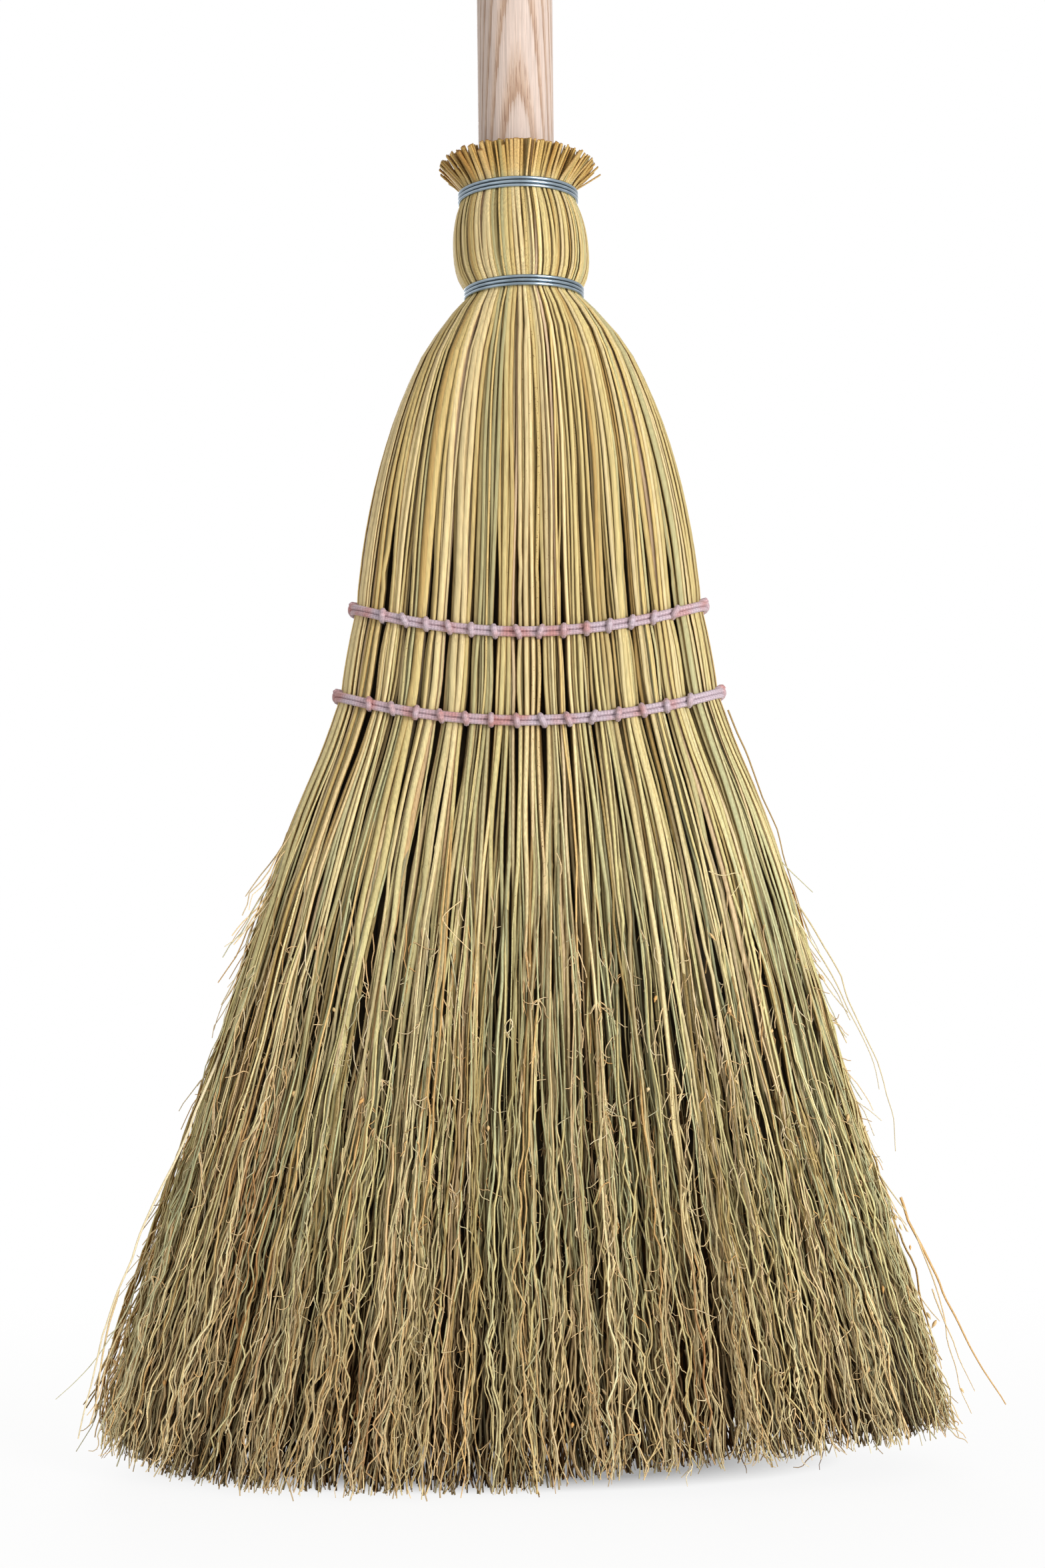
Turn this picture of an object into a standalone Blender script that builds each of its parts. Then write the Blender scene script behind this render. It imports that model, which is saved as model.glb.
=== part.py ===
"""A flat broomcorn broom on a turned ash handle, standing on its bristles, in metres.

+Z is up, the sewn face looks along -Y, and the origin is on the floor below the handle's axis.
"""

import math
import random

import bmesh
import bpy
from mathutils import Matrix, Vector

# Fits
clearance = 0.0003
overrun = 0.002
weld_distance = 0.00002

# Roundness
handle_sides = 24
rod_sides = 12
rounding_steps = 4
sharp_angle = math.radians(40)

# Handle
handle_diameter = 0.028
handle_length = 1.035
handle_top_rounding = 0.009
handle_end_diameter = 0.018
handle_taper = 0.030

# Heights, stacked upwards from the floor to the cut ends of the stalks
skirt_height = 0.2604
row_spacing = 0.0322
row_dip = 0.0111
seam_reach = 0.014
waist_height = 0.0133
crotch_rise = 0.0197
shoulder_height = 0.0393
barrel_height = 0.0357
collar_height = 0.0020
fringe_height = 0.012

# Stalk layers round the handle
inner_layer = 0.0022
outer_layer = 0.0038
barrel_bulge = 0.0045
barrel_end_share = 0.6
pocket_depth = 0.0017
slit = 0.0010

# Full widths and thicknesses of the straw, from the shoulders down to the sweeping edge
shoulder_width = 0.0944
shoulder_thickness = 0.0430
shoulder_spread_share = 0.70
crotch_width = 0.1126
crotch_thickness = 0.0412
crotch_spread_share = 0.90
waist_width = 0.1216
waist_thickness = 0.0400
upper_row_width = 0.1270
lower_row_width = 0.1422
row_thickness = 0.0394
between_rows_width = 0.1382
between_rows_thickness = 0.0412
skirt_top_width = 0.1510
skirt_top_thickness = 0.0424
sweep_width = 0.3500
sweep_thickness = 0.1060

# Levels between the shoulders and the neck: shares of the height, of the widening and of the spread
shoulder_shares = ((0.36, 0.73, 0.50), (0.66, 0.50, 0.30))

# Powers of the superellipse that the straw fills, round at the neck and squarer where it is sewn flat
round_power = 2.0
flat_power = 2.3

# Bundles and their strands
bundle_count = 15
stitched_share = 0.82
edge_share = 0.22
slope_step_share = 0.05
bundle_crown = 0.0007
neck_gap = 0.0005
bundle_gap = 0.0007
strand_rows = 11
edge_strand_rows = (4, 8)
strand_tip_share = 0.80
strand_wander_share = 0.08
ragged_edge = 0.0060
least_ragged_share = 0.10
standing_share = 0.55
side_lift = 0.0300
side_lift_power = 4
fringe_flare_share = 1.38
fringe_tip_share = 0.80
fringe_wander_share = 0.12
fringe_short_share = 0.85

# Windings: how far each bends at an elbow and runs on before it, in diameters
elbow_share = 0.6
lead_share = 1.0
stitch_elbow_share = 0.5

# Wire
wire_diameter = 0.0013
wire_gap = 0.00045
wire_turns = 3
turn_points = 24

# Twine
twine_diameter = 0.0020
twine_gap = 0.0006
band_turns = 2
tuck_length = 0.0030

# Nail
nail_diameter = 0.0018
nail_head_diameter = 0.0042
nail_head_height = 0.0009
nail_length = 0.0135
nail_point = 0.0015

# Heights over the floor that follow from the stack
lower_row = skirt_height + seam_reach
upper_row = lower_row + row_spacing
between_rows = (lower_row + upper_row) / 2
fork = upper_row + row_dip + seam_reach + waist_height
handle_end = fork + crotch_rise
inner_layer_end = handle_end + handle_taper
lower_ring = inner_layer_end + shoulder_height
upper_ring = lower_ring + barrel_height

# Radii and clearances that follow from the layers
handle_radius = handle_diameter / 2
inner_layer_bore = handle_radius + clearance
inner_layer_radius = inner_layer_bore + inner_layer
neck_bore = (inner_layer_radius + clearance) / math.cos(math.pi / (2 * bundle_count))
neck_radius = neck_bore + outer_layer
turn_swell_share = 1 / math.cos(math.pi / turn_points)
wire_radius = (neck_radius + clearance + wire_diameter / 2) * turn_swell_share
wire_pitch = wire_diameter + wire_gap
twine_pitch = twine_diameter + twine_gap
stitch_half_gap = twine_diameter / 2 + clearance
pass_offset = twine_pitch / 2 + twine_diameter + clearance
pinch_reach = pass_offset + stitch_half_gap * (1 + 4 * row_dip / upper_row_width)
inner_wire_height = wire_turns * wire_diameter
binding_reach = wire_pitch * wire_turns / 2 + wire_diameter / 2 + clearance
fringe_root = upper_ring + binding_reach + collar_height
pocket_floor = lower_ring + binding_reach + wire_diameter
nail_height = pocket_floor + nail_head_diameter / 2
inner_wire_floor = nail_height + nail_head_diameter / 2 + clearance


def clear_scene():
    for thing in list(bpy.data.objects):
        bpy.data.objects.remove(thing, do_unlink=True)


def add_collections():
    made = []
    for name in ("broom", "cutters"):
        collection = bpy.data.collections.new(name)
        bpy.context.scene.collection.children.link(collection)
        made.append(collection)
    return made


def add_material(name, colour, roughness, metallic=0.0):
    material = bpy.data.materials.new(name)
    material.use_nodes = True
    shader = material.node_tree.nodes["Principled BSDF"]
    shader.inputs["Base Color"].default_value = (*colour, 1.0)
    shader.inputs["Roughness"].default_value = roughness
    shader.inputs["Metallic"].default_value = metallic
    return material


def add_object(name, data, material=None, collection=None):
    thing = bpy.data.objects.new(name, data)
    (collection or parts).objects.link(thing)
    if material:
        data.materials.append(material)
    return thing


def turned(name, profile, material, sides=handle_sides, closed=False):
    """Turns a profile of (radius, height) points, which runs down its outer side, about the Z axis."""
    mesh = bpy.data.meshes.new(name)
    corners = [(radius, 0.0, height) for radius, height in profile]
    edges = [(i, i + 1) for i in range(len(corners) - 1)]
    if closed:
        edges.append((len(corners) - 1, 0))
    mesh.from_pydata(corners, edges, [])
    thing = add_object(name, mesh, material)
    screw = thing.modifiers.new("Screw", "SCREW")
    screw.steps = sides
    screw.render_steps = sides
    screw.use_merge_vertices = True
    screw.merge_threshold = weld_distance
    graph = bpy.context.evaluated_depsgraph_get()
    solid = bpy.data.meshes.new_from_object(thing.evaluated_get(graph))
    solid.shade_smooth()
    solid.set_sharp_from_angle(angle=sharp_angle)
    thing.modifiers.clear()
    thing.data = solid
    return thing


def add_cutter(name, shapes):
    """One hidden cutter that holds a round rod for each (start, end, diameter)."""
    bm = bmesh.new()
    for start, end, diameter in shapes:
        run = end - start
        place = Matrix.Translation((start + end) / 2) @ run.to_track_quat("Z", "Y").to_matrix().to_4x4()
        radius = diameter / 2
        bmesh.ops.create_cone(
            bm,
            cap_ends=True,
            segments=rod_sides,
            radius1=radius,
            radius2=radius,
            depth=run.length,
            matrix=place,
        )
    mesh = bpy.data.meshes.new(name)
    bm.to_mesh(mesh)
    bm.free()
    cutter = add_object(name, mesh, collection=cutters)
    cutter.hide_render = True
    cutter.display_type = "WIRE"
    return cutter


def cut(thing, cutter):
    modifier = thing.modifiers.new("Cut " + cutter.name, "BOOLEAN")
    modifier.operation = "DIFFERENCE"
    modifier.object = cutter


# Levels of the straw


class Level:
    """One height of the straw: its half width and half thickness, its bore, and how flat it is spread.

    spread is 0 where the bundles stand round the neck and 1 where they lie side by side.
    dip is the share of the rows' dip that the level takes at its middle.
    """

    def __init__(self, height, width, thickness, spread, gap, bore=0.0, crown=0.0, dip=0.0):
        self.power = round_power + (flat_power - round_power) * spread
        self.reach_share = (1 - (edge_share * spread) ** self.power) ** (1 / self.power)
        self.height = height
        self.half_width = width / 2 / self.reach_share
        self.half_thickness = thickness / 2
        self.spread = spread
        self.gap = gap
        self.half_slit = slit / 2 if spread else gap / 2
        self.bore = bore
        self.crown = crown
        self.dip = dip

    def height_at(self, x):
        from_middle = abs(x) / self.half_width
        return self.height + self.dip * row_dip * min(from_middle, 1.0) ** 2


def flat_place(s):
    """Where share s of the bundles, counted from the left, lies across the flat head, from -1 to 1."""
    edge = 1 / bundle_count
    if s < edge:
        return -1 + (1 - stitched_share) * s / edge
    if s > 1 - edge:
        return 1 - (1 - stitched_share) * (1 - s) / edge
    return stitched_share * (2 * (s - edge) / (1 - 2 * edge) - 1)


def outline(level, s):
    """The front outline of the straw at one level, as (x, y) with y forward, so below zero."""
    across = (1 - level.spread) * -math.cos(math.pi * s) + level.spread * flat_place(s)
    across *= level.reach_share
    depth = max(0.0, 1 - abs(across) ** level.power) ** (1 / level.power)
    return level.half_width * across, -level.half_thickness * depth


def gap_share(level, s):
    """The share of the outline that half a gap takes at s."""
    step = slope_step_share / bundle_count
    before = Vector(outline(level, max(0.0, s - step)))
    after = Vector(outline(level, min(1.0, s + step)))
    run = min(1.0, s + step) - max(0.0, s - step)
    return level.gap / 2 * run / (after - before).length


def front_points(level, k):
    """The three corners of bundle k's front face at one level, left to right."""
    left, right = k / bundle_count, (k + 1) / bundle_count
    wraps = level.spread < 1
    if k > 0 or wraps:
        left += gap_share(level, left)
    if k < bundle_count - 1 or wraps:
        right -= gap_share(level, right)
    corners = [Vector(outline(level, s)) for s in (left, (left + right) / 2, right)]
    corners[1].y -= level.crown
    for corner in corners:
        corner.y = min(corner.y, -level.half_slit)
    return [Vector((c.x, c.y, level.height_at(c.x))) for c in corners], (left, right)


def inner_points(level, k):
    """The two corners of bundle k's front leg that face the handle, right one first."""
    front, shares = front_points(level, k)
    corners = []
    for outer, s in ((front[2], shares[1]), (front[0], shares[0])):
        x = (1 - level.spread) * level.bore * -math.cos(math.pi * s) + level.spread * outer.x
        y = -math.sqrt(max(0.0, level.bore**2 - x**2))
        corners.append(Vector((x, min(y, -level.half_slit), level.height)))
    return corners


def bore_round(radius, width):
    """The bore that keeps each bundle's straight inner face clear of a round core."""
    bundle_width = stitched_share * width / (bundle_count - 2)
    return radius + clearance + bundle_width**2 / (4 * radius)


def row_level(height, width):
    """The straw where a row of twine draws it in, with room between the bundles for the twine."""
    return Level(height, width, row_thickness, 1, 2 * stitch_half_gap, dip=1.0)


def fork_level(height, dip=0.0):
    return Level(height, waist_width, waist_thickness, 1, bundle_gap, crown=bundle_crown, dip=dip)


def trunk_levels():
    """The levels from the strands' roots up to the fork, below the handle."""
    return [
        Level(skirt_height, skirt_top_width, skirt_top_thickness, 1, bundle_gap, dip=1.0),
        row_level(lower_row - pinch_reach, lower_row_width),
        row_level(lower_row + pinch_reach, lower_row_width),
        Level(
            between_rows, between_rows_width, between_rows_thickness, 1, bundle_gap,
            crown=bundle_crown, dip=1.0,
        ),
        row_level(upper_row - pinch_reach, upper_row_width),
        row_level(upper_row + pinch_reach, upper_row_width),
        fork_level(upper_row + seam_reach, dip=1.0),
        fork_level(fork),
    ]


def leg_levels():
    """The levels from the fork up round the handle's end, over the shoulders and along the neck."""
    neck = 2 * neck_radius
    barrel = neck + 2 * barrel_bulge
    barrel_end = neck + barrel_end_share * (barrel - neck)
    end_bore = bore_round(handle_end_diameter / 2, crotch_width)
    shoulder_bore = bore_round(inner_layer_radius, shoulder_width)
    pocket = neck_bore + pocket_depth
    levels = [
        fork_level(fork),
        Level(
            handle_end - clearance, crotch_width, crotch_thickness, crotch_spread_share, bundle_gap,
            bore=end_bore, crown=bundle_crown,
        ),
        Level(
            inner_layer_end - clearance, shoulder_width, shoulder_thickness, shoulder_spread_share,
            bundle_gap, bore=shoulder_bore, crown=bundle_crown,
        ),
    ]
    for height_share, widening_share, spread in shoulder_shares:
        height = inner_layer_end + height_share * shoulder_height
        width = neck + widening_share * (shoulder_width - neck)
        thickness = neck + widening_share * (shoulder_thickness - neck)
        levels.append(
            Level(height, width, thickness, spread, bundle_gap, bore=shoulder_bore, crown=bundle_crown / 2)
        )
    for height, across, bore in (
        (lower_ring - binding_reach, neck, neck_bore),
        (lower_ring + binding_reach, neck, neck_bore),
        (pocket_floor, barrel_end, pocket),
        ((lower_ring + upper_ring) / 2, barrel, pocket),
        (upper_ring - (pocket_floor - lower_ring), barrel_end, neck_bore),
        (upper_ring - binding_reach, neck, neck_bore),
        (fringe_root, neck, neck_bore),
    ):
        levels.append(Level(height, across, across, 0, neck_gap, bore=bore))
    return levels


# Bundles


def back_of(corners):
    return [Vector((c.x, -c.y, c.z)) for c in corners]


def loft(bm, rings, faces=None, from_high=(), from_low=()):
    """Joins each ring of corners to the next one up, on every side or on the sides named.

    A side in from_high or from_low is split in two along the diagonal from that corner of it, so that it
    lies like the neighbouring bundle's side.
    """
    for low, high in zip(rings, rings[1:]):
        count = len(low)
        for i in faces or range(count):
            j = (i + 1) % count
            if i in from_low:
                bm.faces.new((low[i], low[j], high[j]))
                bm.faces.new((low[i], high[j], high[i]))
            elif i in from_high:
                bm.faces.new((low[i], low[j], high[i]))
                bm.faces.new((low[j], high[j], high[i]))
            else:
                bm.faces.new((low[i], low[j], high[j], high[i]))


def root_line(bm, front, back, rows):
    """Corners from the front to the back of a bundle's foot, evenly spaced."""
    line = [front]
    for i in range(1, rows):
        line.append(bm.verts.new(front.co.lerp(back.co, i / rows)))
    return line + [back]


def root_lattice(bm, left, right):
    """Fills the strip between two root lines with triangles, and returns those that stand on the left one."""
    strands = []
    i = j = 0
    left_steps, right_steps = len(left) - 1, len(right) - 1
    while i < left_steps or j < right_steps:
        if i < left_steps and (i + 1) * right_steps <= (j + 1) * left_steps:
            strands.append(bm.faces.new((left[i], left[i + 1], right[j])))
            i += 1
        else:
            bm.faces.new((right[j], right[j + 1], left[i]))
            j += 1
    return strands


def sweep_place(corner):
    """Follows a corner of the bundle's foot down along the flare, as a function of the height reached."""
    top = skirt_height + row_dip * min(1.0, abs(corner.x) / (skirt_top_width / 2)) ** 2
    wider = sweep_width / skirt_top_width - 1
    thicker = sweep_thickness / skirt_top_thickness - 1

    def at(height):
        drop = (top - height) / top
        return Vector((corner.x * (1 + wider * drop), corner.y * (1 + thicker * drop), height))

    return at


def grow_strand(bm, face, rng, stands):
    """Draws one strand down from its root triangle, whose first two corners are its base."""
    base = (face.verts[0].co + face.verts[1].co) / 2
    pitch = (face.verts[0].co - face.verts[1].co).length
    across = abs(face.verts[2].co.x - base.x)
    from_middle = abs(base.x) / (skirt_top_width / 2)
    height = side_lift * from_middle**side_lift_power
    wander = Vector((0.0, 0.0, 0.0))
    if not stands:
        height += rng.uniform(least_ragged_share, 1) * ragged_edge
        wander.x = rng.uniform(0, 1) * strand_wander_share * across
        wander.y = rng.uniform(-1, 1) * strand_wander_share * pitch
    elif from_middle < standing_share:
        height = 0.0
    (tip,) = bmesh.ops.extrude_discrete_faces(bm, faces=[face])["faces"]
    for corner in tip.verts:
        drawn_in = base + (corner.co - base) * strand_tip_share + wander
        corner.co = sweep_place(drawn_in)(height)


def grow_fringe(bm, face, rng):
    """Draws one cut stalk end up and outward from its root triangle."""
    middle = face.calc_center_median()
    size = (face.verts[0].co - face.verts[1].co).length
    wander = Vector((rng.uniform(-1, 1), rng.uniform(-1, 1), 0.0)) * size * fringe_wander_share
    height = fringe_height * rng.uniform(fringe_short_share, 1)
    (tip,) = bmesh.ops.extrude_discrete_faces(bm, faces=[face])["faces"]
    for corner in tip.verts:
        drawn_in = middle + (corner.co - middle) * fringe_tip_share + wander
        flared = drawn_in * fringe_flare_share
        corner.co = Vector((flared.x, flared.y, fringe_root + height))


def bundle_mesh(k, name):
    """One bundle of the left half or the middle, whole from its cut ends to its sweeping tips."""
    rng = random.Random(k)
    bm = bmesh.new()

    def ring(points):
        return [bm.verts.new(p) for p in points]

    trunk = []
    for level in trunk_levels():
        front, _ = front_points(level, k)
        trunk.append(ring(front + back_of(front)[::-1]))
    root, top = trunk[0], trunk[-1]
    inner = ring(inner_points(leg_levels()[0], k))
    inner_back = ring(back_of([v.co for v in inner]))

    loft(bm, trunk[1:-1])
    loft(bm, trunk[:2], faces=(0, 1, 3, 4))
    loft(bm, trunk[-2:], faces=(0, 1, 3, 4))
    below = trunk[-2]
    bm.faces.new((below[2], below[3], top[3], inner_back[0], inner[0], top[2]))
    bm.faces.new((below[5], below[0], top[0], inner[1], inner_back[1], top[5]))
    bm.faces.new((inner[0], inner[1], inner_back[1], inner_back[0]))

    rows = (*edge_strand_rows, strand_rows) if k == 0 else (strand_rows,) * 3
    lines = [root_line(bm, root[i], root[5 - i], rows[i]) for i in range(3)]
    above = trunk[1]
    bm.faces.new((*lines[2], above[3], above[2]))
    bm.faces.new((*lines[0][::-1], above[0], above[5]))
    for left, right in zip(lines, lines[1:]):
        strands = root_lattice(bm, left, right)
        for i, face in enumerate(strands):
            grow_strand(bm, face, rng, stands=i in (0, len(strands) - 1))

    for side in (1, -1):
        rings = [[*top[:3], *inner] if side == 1 else [*top[:2:-1], *inner_back]]
        for level in leg_levels()[1:]:
            front, _ = front_points(level, k)
            points = front + inner_points(level, k)
            rings.append(ring(points if side == 1 else back_of(points)))
        loft(bm, rings, from_low=(2,), from_high=(4,))
        end = rings[-1]
        bm.faces.new((end[1], end[3], end[4]))
        for corners in ((end[0], end[1], end[4]), (end[1], end[2], end[3])):
            grow_fringe(bm, bm.faces.new(corners), rng)

    bmesh.ops.recalc_face_normals(bm, faces=bm.faces)
    mesh = bpy.data.meshes.new(name)
    bm.to_mesh(mesh)
    bm.free()
    return mesh


def mirrored_mesh(mesh, name):
    bm = bmesh.new()
    bm.from_mesh(mesh)
    bmesh.ops.scale(bm, vec=(-1, 1, 1), verts=bm.verts)
    bmesh.ops.reverse_faces(bm, faces=bm.faces)
    turned_mesh = bpy.data.meshes.new(name)
    bm.to_mesh(turned_mesh)
    bm.free()
    return turned_mesh


def add_bundles(materials):
    bundles = []
    middle = bundle_count // 2
    for k in range(bundle_count):
        name = f"bundle_{k + 1:02d}"
        if k <= middle:
            mesh = bundle_mesh(k, name)
        else:
            mesh = mirrored_mesh(bundles[bundle_count - 1 - k].data, name)
            mesh.materials.clear()
        bundles.append(add_object(name, mesh, materials[k % len(materials)]))
    return bundles


# Handle, inner layer and what holds it


def add_handle(material):
    top = handle_end + handle_length
    rounding = handle_top_rounding
    profile = [(0.0, top)]
    for i in range(rounding_steps + 1):
        turn = math.pi / 2 * i / rounding_steps
        across = handle_radius - rounding + rounding * math.sin(turn)
        profile.append((across, top - rounding + rounding * math.cos(turn)))
    profile += [
        (handle_radius, inner_layer_end),
        (handle_end_diameter / 2, handle_end),
        (0.0, handle_end),
    ]
    return turned("handle", profile, material)


def add_inner_layer(material):
    top, bottom = upper_ring, inner_layer_end
    outside, bore = inner_layer_radius, inner_layer_bore
    profile = [(bore, top), (outside, top), (outside, bottom), (bore, bottom)]
    return turned("inner_stalk_layer", profile, material, closed=True)


def add_inner_wire(material):
    """The hidden winding on the inner layer, as a ribbed ring."""
    bore = inner_layer_radius + clearance
    low = inner_wire_floor
    profile = [(bore, low + inner_wire_height)]
    for turn in range(wire_turns):
        crest = low + inner_wire_height - wire_diameter * (turn + 0.5)
        profile.append((bore + wire_diameter / 2, crest + wire_diameter / 2))
        profile.append((bore + wire_diameter, crest))
    profile += [(bore + wire_diameter / 2, low), (bore, low)]
    return turned("inner_wire_binding", profile, material, closed=True)


def add_nail(material):
    head = nail_head_diameter / 2
    shank = nail_diameter / 2
    profile = [
        (0.0, nail_head_height),
        (head, nail_head_height),
        (head, 0.0),
        (shank, 0.0),
        (shank, nail_point - nail_length),
        (0.0, -nail_length),
    ]
    nail = turned("binding_nail", profile, material, sides=rod_sides)
    nail.location = (0.0, -inner_layer_radius - clearance, nail_height)
    nail.rotation_euler = (math.pi / 2, 0.0, 0.0)
    outside = Vector((0.0, -inner_layer_radius - overrun, nail_height))
    inside = Vector((0.0, -inner_layer_radius + nail_length, nail_height))
    hole = add_cutter("nail_hole", [(outside, inside, nail_diameter + 2 * clearance)])
    return nail, hole


# Windings


def report_gap(name, points, diameter):
    """Prints the least gap between stretches of one tube that lie over three diameters apart along it."""
    samples = []
    along = 0.0
    for start, end in zip(points, points[1:]):
        run = (end - start).length
        count = max(1, math.ceil(run / (diameter / 2)))
        samples += [(start.lerp(end, i / count), along + run * i / count) for i in range(count)]
        along += run
    samples.append((points[-1], along))
    least = min(
        (a - b).length
        for i, (a, at) in enumerate(samples)
        for b, there in samples[i + 1 :]
        if there - at > 3 * diameter
    )
    print(f"{name}: least gap to itself {1000 * (least - diameter):.2f} mm")


def add_tube(name, points, diameter, material):
    curve = bpy.data.curves.new(name, "CURVE")
    curve.dimensions = "3D"
    curve.bevel_depth = diameter / 2
    curve.bevel_resolution = 1
    curve.use_fill_caps = True
    spline = curve.splines.new("POLY")
    spline.points.add(len(points) - 1)
    for target, point in zip(spline.points, points):
        target.co = (*point, 1.0)
    report_gap(name, points, diameter)
    return add_object(name, curve, material)


def add_wire_binding(name, height, material):
    """Three turns round the neck, with both ends tucked into the straw at the back."""

    def at(turn, radius):
        angle = math.pi / 2 + 2 * math.pi * turn
        climb = height + wire_pitch * (turn - wire_turns / 2)
        return Vector((radius * math.cos(angle), radius * math.sin(angle), climb))

    elbow = wire_diameter * elbow_share
    steps = wire_turns * turn_points
    points = [at(i / turn_points, wire_radius) for i in range(1, steps)]
    for turn in (0, wire_turns):
        end = at(turn, 1.0)
        side = -1 if turn == 0 else 1
        bent = [
            Vector((side * elbow, wire_radius, end.z)),
            Vector((0.0, wire_radius - elbow, end.z)),
            Vector((0.0, inner_layer_radius + clearance, end.z)),
        ]
        points = bent[::-1] + points if turn == 0 else points + bent
    add_tube(name, points, wire_diameter, material)
    ends = [at(turn, 1.0).z for turn in (0, wire_turns)]
    hole = wire_diameter + 2 * clearance
    return [
        (Vector((0.0, inner_layer_radius - overrun, z)), Vector((0.0, wire_radius, z)), hole) for z in ends
    ]


def gap_place(level, j):
    """Where gap j between two bundles comes out at the front of a row, as (x, y, z)."""
    x, y = outline(level, j / bundle_count)
    return Vector((x, y, level.height_at(x)))


def add_band(name, level, material):
    """The doubled band of a sewn row: two turns round the head, with both ends tucked in at the back."""
    middle = bundle_count // 2
    first, last = gap_place(level, middle + 2), gap_place(level, middle + 3)
    stand_off = clearance + twine_diameter / 2
    half_width = (level.half_width + stand_off) * turn_swell_share
    half_thickness = (level.half_thickness + stand_off) * turn_swell_share

    def at(angle, climb):
        across = math.cos(angle)
        depth = math.sin(angle)
        across = math.copysign(abs(across) ** (2 / level.power), across)
        depth = math.copysign(abs(depth) ** (2 / level.power), depth)
        x, y = half_width * across, half_thickness * depth
        return Vector((x, y, level.height_at(x) + climb))

    def angle_at(x):
        return math.acos((x / half_width) ** (level.power / 2))

    elbow = twine_diameter * elbow_share
    lead = twine_diameter * lead_share
    points = []
    for lap in range(band_turns):
        climb = twine_pitch * (lap - (band_turns - 1) / 2)
        begin = angle_at(first.x + (lead if lap else -lead))
        end = angle_at(last.x + (-lead if lap < band_turns - 1 else lead)) + 2 * math.pi
        corners = [2 * math.pi * i / turn_points for i in range(2 * turn_points)]
        angles = [begin, *(angle for angle in corners if begin < angle < end), end]
        points += [at(angle, climb) for angle in angles]

    def tuck(place, climb, side):
        y = at(angle_at(place.x), climb).y
        bend = place.x + side * elbow
        z = place.z + climb
        return [
            Vector((bend, y, level.height_at(bend) + climb)),
            Vector((place.x, y - elbow, z)),
            Vector((place.x, y - elbow - tuck_length, z)),
        ]

    highest = twine_pitch * (band_turns - 1) / 2
    points = tuck(first, -highest, -1)[::-1] + points + tuck(last, highest, 1)
    add_tube(name, points, twine_diameter, material)


def add_stitches(name, level, material):
    """The sewing of a row: down over the band in front, through, up behind to the next gap, and through."""
    reach = clearance + twine_diameter + clearance + twine_diameter / 2
    elbow = twine_diameter * stitch_elbow_share
    points = []
    for j in range(1, bundle_count):
        place = gap_place(level, j)
        front = place.y - reach
        upper, lower = place.z + pass_offset, place.z - pass_offset
        x = place.x
        if j == 1:
            points.append(Vector((x, 0.0, upper)))
        else:
            points += [Vector((x, -front, upper - elbow)), Vector((x, -front - elbow, upper))]
        points += [
            Vector((x, front + elbow, upper)),
            Vector((x, front, upper - elbow)),
            Vector((x, front, lower + elbow)),
            Vector((x, front + elbow, lower)),
        ]
        if j == bundle_count - 1:
            points.append(Vector((x, 0.0, lower)))
        else:
            points += [Vector((x, -front - elbow, lower)), Vector((x, -front, lower + elbow))]
    add_tube(name, points, twine_diameter, material)


clear_scene()
parts, cutters = add_collections()

ash = add_material("ash", (0.72, 0.57, 0.43), 0.55)
straws = [
    add_material("straw_gold", (0.60, 0.50, 0.25), 0.60),
    add_material("straw_green", (0.50, 0.47, 0.25), 0.60),
    add_material("straw_tan", (0.62, 0.50, 0.30), 0.60),
]
inner_straw = add_material("inner_straw", (0.45, 0.36, 0.18), 0.70)
steel_wire = add_material("galvanised_wire", (0.38, 0.45, 0.50), 0.35, 1.0)
twine = add_material("waxed_twine", (0.62, 0.42, 0.50), 0.55)

handle = add_handle(ash)
inner_stalks = add_inner_layer(inner_straw)
add_inner_wire(steel_wire)
_, nail_hole = add_nail(steel_wire)
cut(handle, nail_hole)
cut(inner_stalks, nail_hole)

bundles = add_bundles(straws)
wire_holes = add_wire_binding("lower_wire_binding", lower_ring, steel_wire)
wire_holes += add_wire_binding("upper_wire_binding", upper_ring, steel_wire)
cut(bundles[bundle_count // 2], add_cutter("wire_holes", wire_holes))

for row_name, row_height, row_width in (
    ("lower", lower_row, lower_row_width),
    ("upper", upper_row, upper_row_width),
):
    sewn = row_level(row_height, row_width)
    add_band(f"{row_name}_row_band", sewn, twine)
    add_stitches(f"{row_name}_row_stitching", sewn, twine)
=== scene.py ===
"""A flat broomcorn broom on a round ash handle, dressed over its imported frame.

Metres, +Z up. The face that the photograph shows looks along -Y, and the floor is at height zero.
"""

import math

import bmesh
import bpy
import numpy as np
from mathutils import Matrix, Vector


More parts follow.
